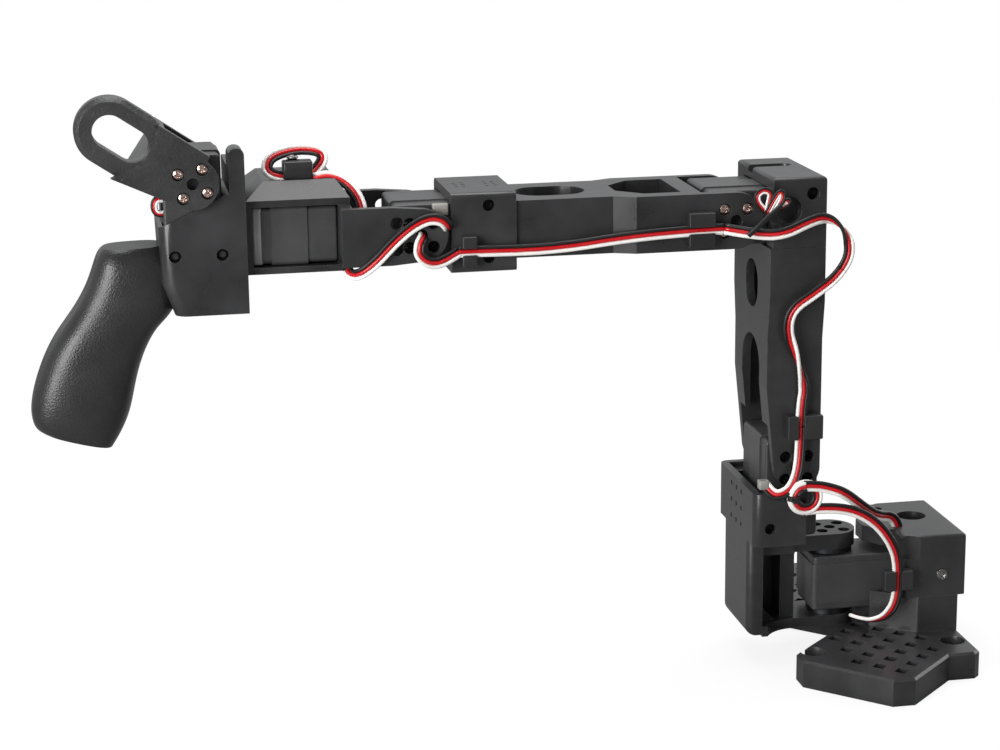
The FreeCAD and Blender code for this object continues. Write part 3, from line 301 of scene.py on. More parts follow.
@dataclass(frozen=True)
class TurnedMetal(Finish):
    """Plated or anodised metal: fine turning marks, a cloudy tint and duller patches.

    In millimetres: width of the turning marks and spread of the clouds.
    """

    depth: float = 0.002
    bump: float = 0.4
    mark: float = 0.35
    spread: float = 3.0

    def even(self) -> Dict[str, float]:
        """Metal all over."""
        return {"Metallic": 1.0}

    def pattern(self, tree: Tree, where: Socket) -> Pattern:
        """Draws the clouds and the turning marks.

        Args:
            tree: node tree of the material.
            where: object coordinates.
        Returns:
            The share of the cloudy tint, the noise that the roughness follows, and the relief.
        """
        cloud, marks = (
            add(tree, "TexNoise", {"Scale": per_metre(size), "Detail": detail},
                {"Vector": where}).outputs[0]
            for size, detail in ((self.spread, 4.0), (self.mark, 2.0)))
        return cloud, cloud, marks


@dataclass(frozen=True)
class Insulation(Finish):
    """Soft extruded PVC: an even glossy colour with slight draw marks and rubbed, duller stretches.

    In millimetres: length of the rubbed stretches and width of the draw marks. Rub is the most of
    the rubbed colour that shows.
    """

    depth: float = 0.01
    bump: float = 0.3
    stretch: float = 6.0
    mark: float = 0.5
    rub: float = 0.5
    ior: float = 1.53

    def even(self) -> Dict[str, float]:
        """Reflection of soft PVC."""
        return {"IOR": self.ior}

    def pattern(self, tree: Tree, where: Socket) -> Pattern:
        """Draws the rubbed stretches and the draw marks.

        Args:
            tree: node tree of the material.
            where: object coordinates.
        Returns:
            The share of the rubbed colour, the noise that the roughness follows, and the relief.
        """
        wear_and_highlight_mask, marks = (
            add(tree, "TexNoise", {"Scale": per_metre(size), "Detail": detail},
                {"Vector": where}).outputs[0]
            for size, detail in ((self.stretch, 4.0), (self.mark, 1.0)))
        share = add(tree, "MapRange", {**RUB_SPAN, "To Max": self.rub}, {"Value": wear_and_highlight_mask})
        return share.outputs[0], wear_and_highlight_mask, marks


# Finishes of the CAD nodes by material slot, each with its body colour and the colour of its wear,
# which on moulded plastic is also a painted highlight along the edges.
# Spark grain of 0.05 mm and pebbles of 0.3 mm would not show, so both are drawn coarser.
FINISHES: Dict[str, Finish] = {
    # Links and holders: satin, with broad soft highlights, and paler edges that are partly wear and
    # partly painted highlight.
    "charcoal_plastic": MouldedPlastic(
        "moulded_charcoal_nylon", "#242425", "#5c5c5e", (0.26, 0.38), grain=0.5, depth=0.03),
    # Grip: each pebble catches a small highlight of its own.
    "grip_plastic": MouldedPlastic(
        "pebbled_dark_abs", "#202021", "#48484a", (0.28, 0.4), grain=0.8, depth=0.16,
        mould=Relief.PEBBLE, edge_wear_and_highlight=0.2),
    # Trigger: a cast skin with short uneven glints.
    "trigger_plastic": MouldedPlastic(
        "wrinkled_dark_nylon", "#262626", "#626263", (0.26, 0.38), grain=1.3, depth=0.3,
        mould=Relief.WRINKLE),
    # Clips: smooth and a little waxy.
    "clip_plastic": MouldedPlastic("moulded_black_acetal", "#222223", "#4f4f51", (0.3, 0.42)),
    # Ties: the blackest and dullest plastic on the arm.
    "tie_plastic": MouldedPlastic("moulded_black_nylon", "#161617", "#3a3a3c", (0.32, 0.46)),
    # Servo housings: greyer than the links, even and matt.
    "servo_plastic": MouldedPlastic(
        "moulded_grey_abs", "#39393a", "#666667", (0.34, 0.46), grain=0.6, depth=0.025),
    "servo_cover": MouldedPlastic(
        "moulded_dark_grey_abs", "#353536", "#646465", (0.34, 0.46), grain=0.6, depth=0.025),
    # Horns: a dark soft metal sheen.
    "horn_metal": TurnedMetal("black_anodised_aluminium", "#323335", "#48494c", (0.34, 0.5)),
    # Screws: thin plating, bright and slightly cloudy.
    "copper_screw": TurnedMetal("copper_plated_steel", "#c0a59a", "#d2bdb3", (0.14, 0.24)),
    "steel_screw": TurnedMetal("zinc_plated_steel", "#7d7b79", "#a3a09c", (0.22, 0.36)),
}
# Sunk screws: near black, with a dull oily shine. In the housings' side holes this near black
# also paints the shade of the holes.
BLACK_STEEL_AND_HOLE_SHADE = TurnedMetal("black_oxide_steel_and_hole_shade", "#161617", "#252526", (0.32, 0.46))
# Plugs: undyed, a warm milky grey.
PLUG_NYLON = MouldedPlastic("moulded_natural_nylon", "#8f8c86", "#b9b7b1", (0.34, 0.48))
# Lid of the roll servo: the one pale housing part.
LID_ABS = MouldedPlastic("moulded_light_grey_abs", "#a4a4a4", "#bcbcbc", (0.34, 0.48), grain=0.5)
# Cores of a lead in their order across it.
CORES = (
    Insulation("black_pvc", "#0a0a0b", "#161617", (0.42, 0.6)),
    Insulation("red_pvc", "#c20612", "#cc1c24"),
    Insulation("white_pvc", "#f0eeea", "#e2dfda"),
)


class FinishBook:
    """Makes each material once and hands it out."""

    def __init__(self) -> None:
        """Starts with no material made."""
        self.made: Dict[str, bpy.types.Material] = {}

    def of(self, finish: Finish) -> bpy.types.Material:
        """Gives the material of a finish.

        Args:
            finish: one of the finish dataclasses.
        Returns:
            The material, made at the first call.
        """
        if finish.name not in self.made:
            self.made[finish.name] = finish.make()
        return self.made[finish.name]


BOOK = FinishBook()


@dataclass
class Grid:
    """A surface as rows of rings of points, with the number of its finish.

    Rings run anticlockwise seen from the side the rows go to, so the faces point outwards.
    """

    points: np.ndarray
    finish: int = 0

    def faces(self, first: int) -> Tuple[np.ndarray, List[np.ndarray]]:
        """Quads between neighbouring rings and the two end faces.

        Args:
            first: number of the grid's first vertex in the mesh.
        Returns:
            The quads as rows of four vertex numbers, and the two end rings.
        """
        rows, cols = self.points.shape[:2]
        number = first + np.arange(rows * cols).reshape(rows, cols)
        ahead = np.roll(number, -1, axis=1)
        quads = np.stack((number[:-1], ahead[:-1], ahead[1:], number[1:]), axis=-1).reshape(-1, 4)
        return quads, [number[0][::-1], number[-1]]


def piece(name: str, grids: Sequence[Grid], finishes: Sequence[Finish]) -> bpy.types.Object:
    """Puts grids into one mesh object at the origin, with smooth sides and flat ends.

    Args:
        name: name of the piece.
        grids: the closed surfaces.
        finishes: finishes in the order of the grids' numbers.
    Returns:
        The object, linked into the scene.
    """
    corners: List[np.ndarray] = []
    sizes: List[np.ndarray] = []
    slots: List[np.ndarray] = []
    first = 0
    for grid in grids:
        quads, ends = grid.faces(first)
        corners += [quads.ravel()] + ends
        sizes += [np.full(len(quads), 4), np.array([len(end) for end in ends])]
        slots.append(np.full(len(quads) + len(ends), grid.finish))
        first += grid.points.shape[0] * grid.points.shape[1]
    places = np.concatenate([grid.points.reshape(-1) for grid in grids])
    loops = np.concatenate(corners).astype(np.int32)
    counts = np.concatenate(sizes).astype(np.int32)
    starts = np.concatenate(([0], np.cumsum(counts)[:-1])).astype(np.int32)
    mesh = bpy.data.meshes.new(name)
    mesh.vertices.add(first)
    mesh.vertices.foreach_set("co", places.astype(np.float32))
    mesh.loops.add(len(loops))
    mesh.loops.foreach_set("vertex_index", loops)
    mesh.polygons.add(len(counts))
    mesh.polygons.foreach_set("loop_start", starts)
    mesh.polygons.foreach_set("material_index", np.concatenate(slots).astype(np.int32))
    mesh.polygons.foreach_set("use_smooth", counts == 4)
    mesh.update(calc_edges=True)
    mesh.validate()
    for finish in finishes:
        mesh.materials.append(BOOK.of(finish))
    made = bpy.data.objects.new(name, mesh)
    bpy.context.scene.collection.objects.link(made)
    log.info("%s: %d faces", name, len(counts))
    return made


def unit(rows: np.ndarray) -> np.ndarray:
    """Rows of vectors brought to length one."""
    return rows / np.linalg.norm(rows, axis=-1, keepdims=True)


def from_axis(joint: str, places: Places) -> np.ndarray:
    """Points given in millimetres from a joint axis, in metres."""
    return AXES[joint] + np.array(places) * MM


def at(places: Places) -> np.ndarray:
    """Points given in millimetres from the origin, in metres."""
    return np.array(places) * MM


def spline_points(name: str, route: np.ndarray, steps: int = 14) -> np.ndarray:
    """Reads points along a smooth NURBS line that has the route's points as control points.

    Args:
        name: name of the line.
        route: control points in metres.
        steps: points between two control points.
    Returns:
        Points along the line.
    """
    data = bpy.data.curves.new(name, "CURVE")
    data.dimensions = "3D"
    data.resolution_u = steps
    line = data.splines.new("NURBS")
    line.points.add(len(route) - 1)
    line.points.foreach_set("co", np.column_stack((route, np.ones(len(route)))).ravel())
    line.order_u = 3
    line.use_endpoint_u = True
    holder = bpy.data.objects.new(name, data)
    bpy.context.scene.collection.objects.link(holder)
    depsgraph = bpy.context.evaluated_depsgraph_get()
    mesh = bpy.data.meshes.new_from_object(holder.evaluated_get(depsgraph))
    points = np.zeros(len(mesh.vertices) * 3)
    mesh.vertices.foreach_get("co", points)
    bpy.data.objects.remove(holder)
    bpy.data.curves.remove(data)
    bpy.data.meshes.remove(mesh)
    return points.reshape(-1, 3)


@dataclass
class RibbonLead:
    """Flat lead of three cores: black, red and white strands side by side along one line.

    Each strand is a circle carried along the line. The ribbon's width lies square to the line and
    to the direction its flat side looks, and may turn about the line by an angle that varies along
    it. A lead that bends across a joint may keep a first share of its points still, as a piece of
    its own.
    """

    node: str
    route: np.ndarray
    look: Triple = (0.0, 1.0, 0.0)
    turns: Turns = ((0.0, 0.0), (1.0, 0.0))
    bends: Optional[Tuple[str, str, Triple, Triple]] = None
    still: float = 0.0
    core: float = 0.84 * MM
    pitch: float = 1.6 * MM
    sides: int = 12

    def strands(self) -> List[Grid]:
        """Tubes of the strands: centre plus radius times cosine across and sine out.

        Returns:
            One grid for each strand, the middle one on the line.
        """
        line = spline_points(self.node, self.route)
        along = unit(np.gradient(line, axis=0))
        level = unit(np.cross(np.array(self.look), along))
        proud = np.cross(along, level)
        run = np.concatenate(([0.0], np.cumsum(np.linalg.norm(np.diff(line, axis=0), axis=1))))
        shares, degrees = zip(*self.turns)
        turn = np.radians(np.interp(run / run[-1], shares, degrees))[:, None]
        across = np.cos(turn) * level + np.sin(turn) * proud
        out = np.cos(turn) * proud - np.sin(turn) * level
        angle = np.linspace(0.0, 2 * math.pi, self.sides, endpoint=False)[None, :, None]
        ring = self.core * (np.cos(angle) * across[:, None] + np.sin(angle) * out[:, None])
        return [Grid((line + (i - 1) * self.pitch * across)[:, None] + ring, i)
                for i in range(len(CORES))]

    def build(self) -> bpy.types.Object:
        """Makes the ribbon and puts it in the place of its CAD solid.

        Returns:
            The piece.
        """
        tubes = self.strands()
        cut = round(self.still * (len(tubes[0].points) - 1))
        if cut:
            held = [Grid(tube.points[:cut + 1], tube.finish) for tube in tubes]
            start = piece(self.node + "_start_ribbon", held, CORES)
            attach(start, BODY_OF[self.node])
        free = [Grid(tube.points[cut:], tube.finish) for tube in tubes]
        made = piece(self.node + "_ribbon", free, CORES)
        if self.bends is None:
            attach(made, BODY_OF[self.node])
        else:
            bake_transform(made)
        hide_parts(self.node)
        return made


@dataclass(frozen=True)
class Harness:
    """The leads from servo to servo, with their tied slack.

    In millimetres: the middles of the clips' channels from the origin, the runs from there to the
    point where a straight stretch ends, and the coil's middle from the shoulder lift axis. Turns
    pair a share of a lead's length with an angle in degrees.
    """

    base_clip: Triple = (-21.9, 29.7, 38.3)
    arm_clip: Triple = (23.1, 27.7, 109.9)
    elbow_clip: Triple = (67.6, 27.7, 197.9)
    wrist_clip: Triple = (165.4, 25.2, 193.0)
    base_run: float = 8.8
    elbow_run: float = 9.8
    wrist_run: float = 4.5
    coil_middle: Triple = (-2.0, 30.6, -11.4)
    coil_radius: float = 5.9
    coil_shrink: float = 0.9
    coil_drift: float = 1.6
    half_turn: Turns = ((0.0, 180.0), (1.0, 180.0))

    def past_wrist_clip(self) -> Triple:
        """Point where the forearm's lead goes over into the flex servo's."""
        x, y, z = self.wrist_clip
        return x + self.wrist_run, y, z

    def shoulder(self) -> List[RibbonLead]:
        """Leads round the shoulder: pan servo to coil, coil to base cap, and lift servo to arm.

        Returns:
            The leads, with the coil as the last.
        """
        x, y, z = self.base_clip
        pan = np.concatenate((
            at(((-7.4, 12.6, 17.4), (-9.6, 16.8, 17.2), (-13.6, 22.6, 17.8), (-18.4, 27.4, 21.4),
                (x, y, z - self.base_run), (x, y, z + self.base_run))),
            from_axis("shoulder_lift", (
                (-41.2, 31.0, -33.9), (-34.1, 31.4, -24.9), (-23.9, 31.4, -18.7),
                (-11.1, 31.2, -16.6), (-2.0, 31.0, -17.2)))))
        feed = np.concatenate((
            from_axis("shoulder_lift", (
                (-1.0, 31.8, -6.2), (-7.0, 32.0, -6.4), (-12.7, 32.4, -7.8), (-19.0, 33.4, -10.0),
                (-28.9, 28.6, -18.4), (-40.5, 14.5, -27.6), (-50.8, 9.8, -30.0))),
            at(((-28.6, 9.3, 55.6),))))
        lift = np.concatenate((
            from_axis("shoulder_lift", (
                (15.4, 26.4, -5.2), (13.2, 28.6, -8.6), (10.2, 30.4, -10.2), (5.2, 31.2, -7.9),
                (1.2, 29.6, -1.8), (-0.5, 27.7, 9.8))),
            at((self.arm_clip,))))
        return [
            RibbonLead("lead_pan", pan, turns=((0.0, 80.0), (0.08, 60.0), (0.22, 0.0), (1.0, 0.0)),
                       bends=("base", "shoulder", tuple(pan[5]), tuple(pan[-1]))),
            RibbonLead("lead_pan_feed", feed, turns=self.half_turn,
                       bends=("shoulder", "base", tuple(feed[2]), tuple(feed[-2]))),
            RibbonLead("lead_lift", lift,
                       bends=("shoulder", "upper_arm", tuple(lift[0]), tuple(lift[-1]))),
            RibbonLead("shoulder_coil", self.coil()),
        ]

    def coil(self) -> np.ndarray:
        """Slack on the motor holder: turns about the coil's middle that drift outwards and shrink.

        Returns:
            Control points, sixteen for each turn.
        """
        angle = np.radians(np.arange(-90.0, 470.0, 22.5))
        share = np.linspace(0.0, 1.0, len(angle))
        radius = self.coil_radius - self.coil_shrink * share
        x, y, z = self.coil_middle
        return from_axis("shoulder_lift", np.column_stack((
            x + radius * np.cos(angle), y + self.coil_drift * share, z + radius * np.sin(angle))))

    def elbow(self) -> List[RibbonLead]:
        """Leads from the upper arm's clip round the elbow and along the forearm.

        The elbow's lead keeps its lower part still, as a piece of its own.

        Returns:
            The leads, with the hank as the last.
        """
        x, y, z = self.elbow_clip
        meet = (x - self.elbow_run, y, z)
        elbow = np.concatenate((
            at((self.arm_clip,)),
            from_axis("shoulder_lift", (
                (-0.6, 27.7, 28.1), (-2.0, 27.9, 37.2), (1.5, 28.0, 48.3), (7.0, 29.2, 61.4),
                (5.4, 30.5, 71.6))),
            from_axis("elbow_flex", (
                (-32.7, 31.2, -31.4), (-42.1, 31.8, -24.6), (-48.0, 32.2, -14.9),
                (-45.4, 32.2, -4.3), (-37.0, 31.2, 1.6), (-27.5, 34.0, -0.5), (-18.8, 35.6, -4.0),
                (-8.8, 33.4, -5.1))),
            at((meet,))))
        forearm = np.concatenate((
            at((meet, self.elbow_clip)),
            from_axis("elbow_flex", ((46.1, 27.4, -3.9), (79.2, 25.5, -8.1))),
            at((self.wrist_clip, self.past_wrist_clip()))))
        turns = ((0.0, 0.0), (0.12, 0.0), (0.27, 180.0), (0.6, 180.0), (0.72, 360.0), (1.0, 360.0))
        bend = ("upper_arm", "forearm", (0.010, 0.031, 0.199), (0.050, 0.031, 0.199))
        return [
            RibbonLead("lead_elbow", elbow, turns=turns, bends=bend, still=0.53),
            RibbonLead("lead_forearm", forearm),
            RibbonLead("elbow_hank", self.hank(), turns=self.half_turn, pitch=0.9 * MM,
                       core=0.52 * MM),
        ]

    def hank(self) -> np.ndarray:
        """Tied slack at the elbow: three loops, each at its own depth, that end under the tie.

        Returns:
            Control points along the loops.
        """
        first = ((-11.3, 4.1), (-7.6, 7.4), (-6.4, 11.4), (-9.4, 13.9), (-13.0, 12.6),
                 (-12.0, 8.2), (-11.4, 4.6))
        second = ((-10.8, 4.2), (-13.2, 8.9), (-16.2, 13.4), (-17.8, 11.2), (-15.2, 6.3),
                  (-13.9, 4.8))
        third = ((-14.4, 4.9), (-17.2, 7.6), (-20.3, 9.2), (-19.6, 7.6), (-16.6, 5.4))
        loops = ((first, 31.2), (second, 33.0), (third, 32.0))
        return from_axis("elbow_flex", [(x, y, z) for loop, y in loops for x, z in loop])

    def wrist(self) -> List[RibbonLead]:
        """Leads at the wrist: to the flex servo, to the roll servo, round the clip, to the trigger.

        Returns:
            The leads.
        """
        flex = np.concatenate((
            at((self.past_wrist_clip(),)),
            from_axis("wrist_flex", (
                (-8.6, 26.8, -11.0), (-2.5, 27.8, -11.3), (1.9, 28.0, -7.5), (1.6, 27.8, -3.4),
                (0.4, 27.0, -1.2), (-0.6, 25.0, -0.2), (-0.8, 22.5, 0.2)))))
        wrist = from_axis("wrist_flex", (
            (29.8, 15.0, -14.8), (29.4, 18.0, -15.6), (27.6, 22.0, -15.8), (24.4, 25.2, -14.0),
            (19.0, 26.8, -9.4), (15.1, 27.0, -5.2), (8.7, 26.8, 0.8), (2.4, 26.6, 5.2),
            (-3.5, 26.5, 7.3), (-8.2, 26.6, 6.3), (-10.4, 26.0, 4.0), (-11.2, 24.2, 2.6),
            (-11.6, 21.5, 1.8)))
        roll = from_axis("wrist_roll", (
            (-20.0, 1.2, 22.4), (-13.5, 2.0, 23.4), (-10.2, 0.6, 26.4), (-12.4, -2.0, 30.6),
            (-19.8, -4.0, 32.8), (-27.0, -4.5, 33.2), (-33.6, -4.0, 32.0), (-34.6, -3.0, 28.6),
            (-31.0, -1.0, 24.8), (-27.5, 0.6, 22.4), (-26.0, 2.4, 21.8), (-29.8, 3.4, 21.9),
            (-35.0, 3.8, 23.2), (-40.5, 4.6, 21.6), (-45.1, 6.5, 17.8), (-48.0, 8.6, 12.4),
            (-48.6, 9.8, 7.0), (-46.6, 10.4, 3.0), (-42.8, 10.6, 1.2), (-39.0, 10.6, 0.8)))
        trigger = from_axis("wrist_roll", (
            (32.6, 12.0, 17.8), (34.8, 12.4, 18.0), (36.4, 12.6, 16.4), (36.4, 12.6, 13.2),
            (34.8, 12.4, 11.4), (32.6, 12.0, 11.6)))
        return [
            RibbonLead("lead_flex", flex),
            RibbonLead("lead_wrist", wrist, turns=self.half_turn,
                       bends=("forearm", "wrist", tuple(wrist[-1]), tuple(wrist[5]))),
            RibbonLead("lead_roll", roll, look=(0.0, 0.6, 0.4)),
            RibbonLead("lead_trigger", trigger, turns=((0.0, 40.0), (1.0, 40.0)), pitch=1.1 * MM,
                       core=0.62 * MM),
        ]

    def build(self) -> None:
        """Makes every lead."""
        for lead in self.shoulder() + self.elbow() + self.wrist():
            lead.build()


def rounded_block(low: Triple, high: Triple, radius: float, step: float = 15.0) -> Grid:
    """Block with rounded upright edges and eased ends, as rings of one rounded rectangle along Z.

    A ring is four quarter circles about the corners, and the ease draws the end rings in.

    Args:
        low: lower corner in millimetres.
        high: upper corner in millimetres.
        radius: radius of the upright edges in millimetres.
        step: degrees between two points of a quarter circle.
    Returns:
        The closed surface in metres.
    """
    (x0, y0, z0), (x1, y1, z1) = low, high
    angle = np.radians(np.arange(0.0, 360.0, step) + step / 2)
    right, upper = np.cos(angle) > 0, np.sin(angle) > 0
    ease = 0.5 * radius
    rings = []
    for z, drawn in ((z0, ease), (z0 + ease, 0.0), (z1 - ease, 0.0), (z1, ease)):
        turn = radius - drawn
        rings.append(np.column_stack((
            np.where(right, x1 - radius, x0 + radius) + turn * np.cos(angle),
            np.where(upper, y1 - radius, y0 + radius) + turn * np.sin(angle),
            np.full(angle.shape, z))))
    return Grid(np.array(rings) * MM)


@dataclass(frozen=True)
class SmallMouldings:
    """Plugs of the leads, lid of the roll servo, tail of the elbow's tie and the roll lead's clip.

    All in millimetres. The tail is a strap of the given half width and half thickness. The clip
    is a block with a neck on it, both placed from the middle of its CAD solid.
    """

    plug_edge: float = 0.6
    lid_depth: float = 4.0
    lid_lap: Triple = (0.0, 0.12, 0.12)
    lid_edge: float = 1.0
    strap: Span = (1.1, 0.4)
    block_low: Span = (-8.0, -3.6)
    block_high: Span = (4.2, 4.0)
    block_rise: float = 7.4
    block_edge: float = 0.9
    neck: float = 2.8
    neck_root: float = 1.0
    neck_edge: float = 2.6

    def plug(self, name: str, body: str, low: Triple, high: Triple) -> None:
        """Makes one plug.

        Args:
            name: name of the piece.
            body: body that carries it.
            low: lower corner in millimetres.
            high: upper corner in millimetres.
        """
        made = piece(name, [rounded_block(low, high, self.plug_edge)], (PLUG_NYLON,))
        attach(made, body)

    def lid(self) -> None:
        """Makes the lid: a shallow block over the end of the servo's front cover."""
        low, high = (np.array(corner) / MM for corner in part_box("roll_servo_covers"))
        lap = np.array(self.lid_lap)
        low[0] = high[0] - self.lid_depth
        block = rounded_block(tuple(low - lap), tuple(high + lap), self.lid_edge)
        made = piece("roll_servo_lid", [block], (LID_ABS,))
        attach(made, "wrist")

    def tail(self) -> None:
        """Makes the tail of the tie: a flat strap along a line, its width square to the line."""
        line = spline_points("elbow_tie_tail", from_axis("elbow_flex", (
            (-16.6, 34.0, 7.5), (-13.0, 35.8, 5.2), (-9.9, 36.4, 2.9), (-5.6, 36.8, -0.8),
            (-1.7, 36.0, -4.3))))
        along = unit(np.gradient(line, axis=0))
        across = unit(np.cross(SIDE, along))
        out = np.cross(along, across)
        wide, thick = self.strap
        half = np.array(((wide, -thick), (wide, thick), (-wide, thick), (-wide, -thick))) * MM
        rings = line[:, None] + half[:, 0, None] * across[:, None] + half[:, 1, None] * out[:, None]
        made = piece("elbow_tie_tail", [Grid(rings)], (FINISHES["tie_plastic"],))
        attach(made, BODY_OF["elbow_tie"])

    def clip(self) -> None:
        """Makes the clip: a block on the roof of the wrist's frame with a neck under its screw."""
        low, high = (np.array(corner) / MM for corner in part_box("roll_clip"))
        x, y = (low + high)[:2] / 2
        (x0, y0), (x1, y1) = self.block_low, self.block_high
        top, neck = low[2] + self.block_rise, self.neck
        made = piece("roll_lead_clip", [
            rounded_block((x + x0, y + y0, low[2]), (x + x1, y + y1, top), self.block_edge),
            rounded_block((x - neck, y - neck, top - self.neck_root), (x + neck, y + neck, high[2]),
                          self.neck_edge),
        ], (FINISHES["clip_plastic"],))
        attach(made, BODY_OF["roll_clip"])
        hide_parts("roll_clip")

    def build(self) -> None:
        """Makes every moulding."""
        self.clip()
        self.plug("lift_plug", "shoulder", (37.0, 24.6, 83.2), (41.2, 28.6, 87.1))
        self.plug("flex_plug", "forearm", (173.0, 17.6, 207.6), (179.6, 20.2, 212.4))
        self.lid()
        self.tail()


class Recess(Enum):
    """What is sunk into the top of a screw for the driver."""

    CROSS = "cross"
    HEXAGON = "hexagon"


@dataclass(frozen=True)
class ScrewHead:
    """Round screw head with a domed top and a recess for the driver.

    The walls are the share of a recess's half width over which it goes down, and the rim is the
    share of the radius that the recess stays within.
    """

    radius: float = 2.25 * MM
    height: float = 1.9 * MM
    dome: float = 0.7 * MM
    recess: Recess = Recess.CROSS
    slot: float = 0.36 * MM
    arm: float = 1.3 * MM
    depth: float = 0.8 * MM
    cross_wall: float = 0.3
    hexagon_wall: float = 0.12
    rim: float = 0.97
    rings: int = 22
    sides: int = 40

    def sunk(self, across: np.ndarray, beside: np.ndarray) -> np.ndarray:
        """Share of the recess depth at places on the head, one inside the recess and zero outside.

        A hexagon is where the largest of three turned distances is small. A cross is where the
        smaller distance is within the slot and the larger one within the arm.

        Args:
            across: distance from the middle along the recess's first arm.
            beside: distance from the middle square to it.
        Returns:
            The share at each place.
        """
        if self.recess is Recess.HEXAGON:
            angles = np.radians((0.0, 60.0, 120.0))
            reach = np.max([
                np.abs(across * np.cos(a) + beside * np.sin(a)) for a in angles], axis=0)
            return np.clip((self.arm - reach) / (self.hexagon_wall * self.arm), 0.0, 1.0)
        across, beside = np.abs(across), np.abs(beside)
        small, large = np.minimum(across, beside), np.maximum(across, beside)
        bar = np.clip((self.slot - small) / (self.cross_wall * self.slot), 0.0, 1.0)
        return bar * np.clip((self.arm - large) / (self.cross_wall * self.arm), 0.0, 1.0)

    def surface(self, centre: np.ndarray, out: np.ndarray, turn: float) -> Grid:
        """The head: a straight side, and a top that falls with the cosine of the radius.

        The recess is taken off the top.

        Args:
            centre: middle of the top of the head.
            out: direction the head looks.
            turn: angle of the recess.
        Returns:
            The surface, from the rim of its underside to the middle of its top.
        """
        share = np.concatenate(((1.0, 1.0), np.linspace(0.98, 0.02, self.rings)))
        level = self.dome * (np.cos(share * math.pi / 2) - 1)
        level[0] = -self.height
        angle = np.linspace(0.0, 2 * math.pi, self.sides, endpoint=False)
        share = share[:, None]
        across = self.radius * share * np.cos(angle)
        beside = self.radius * share * np.sin(angle)
        rise = level[:, None] - self.depth * self.sunk(across, beside) * (share < self.rim)
        start = AHEAD if abs(out @ AHEAD) < 0.5 else SIDE
        one = math.cos(turn) * start + math.sin(turn) * np.cross(out, start)
        two = np.cross(out, one)
        return Grid(centre + across[..., None] * one + beside[..., None] * two
                    + rise[..., None] * out)


@dataclass(frozen=True)
class HornScrews:
    """Screws of one joint's horns, four on a circle at each end of the shaft.

    The first screw lies in the direction first from the shaft. Turn and step are the angle of the
    first recess and the change from screw to screw.
    """

    joint: str
    shaft: Triple
    first: Triple
    node: str
    finish: Finish = BLACK_STEEL_AND_HOLE_SHADE
    slot: str = "steel_screw"
    sunk: float = 0.9 * MM
    both: bool = True
    circle: float = 7.0 * MM
    turn: float = 0.3
    step: float = 0.7
    head: ScrewHead = ScrewHead()

    def build(self) -> bpy.types.Object:
        """Makes the screws in the place of their CAD solids.

        Returns:
            The piece.
        """
        low, high = (np.array(corner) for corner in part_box(self.node))
        shaft, first = np.array(self.shaft), np.array(self.first)
        second = np.cross(shaft, first)
        along = np.abs(shaft)
        grids: List[Grid] = []
        ends = ((1.0, high @ along), (-1.0, low @ along))
        for sign, level in ends[:2 if self.both else 1]:
            middle = AXES[self.joint] * (1 - along) + along * (level - sign * self.sunk)
            for i in range(4):
                a = i * math.pi / 2
                centre = middle + self.circle * (math.cos(a) * first + math.sin(a) * second)
                grids.append(self.head.surface(centre, sign * shaft, self.step * i + self.turn))
        made = piece(self.node.replace("screws", "cross_screws"), grids, (self.finish,))
        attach(made, BODY_OF[self.node])
        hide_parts(self.node)
        return made


@dataclass(frozen=True)
class SideScrewsAndHoleShade:
    """Black socket screws at the bottom of a housing's side holes, the same on both sides: partly real
    screws, partly painted shade that darkens the holes.

    The places are the middles of the tops on the left side, in millimetres from the origin.
    """

    node: str
    places: Tuple[Triple, ...]
    step: float = 0.4
    head: ScrewHead = ScrewHead(2.3 * MM, 0.9 * MM, 0.1 * MM, Recess.HEXAGON, depth=0.6 * MM)

    def build(self) -> bpy.types.Object:
        """Makes the screws, whose near black partly paints the holes' shade, on the body that carries
        the housing.

        Returns:
            The piece.
        """
        left = at(self.places)
        right = left * np.array((1.0, -1.0, 1.0))
        grids = [self.head.surface(top, out, self.step * i)
                 for tops, out in ((left, SIDE), (right, -SIDE)) for i, top in enumerate(tops)]
        made = piece(self.node + "_socket_screws_and_hole_shade", grids, (BLACK_STEEL_AND_HOLE_SHADE,))
        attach(made, BODY_OF[self.node])
        return made


@dataclass(frozen=True)
class FaceScrew:
    """One pan-head screw on a face, in the place of its CAD solid."""

    node: str
    out: Triple
    slot: str
    recess: Recess = Recess.CROSS
    turn: float = 0.5

    def build(self) -> bpy.types.Object:
        """Makes the screw.

        Returns:
            The piece.
        """
        low, high = (np.array(corner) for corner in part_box(self.node))
        out = np.array(self.out)
        head = ScrewHead(2.4 * MM, 1.2 * MM, 0.5 * MM, self.recess)
        top = (low + high) / 2 + out * (((high - low) / 2) @ out)
        made = piece(self.node + "_head", [head.surface(top, out, self.turn)],
                     (FINISHES[self.slot],))
        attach(made, BODY_OF[self.node])
        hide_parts(self.node)
        return made


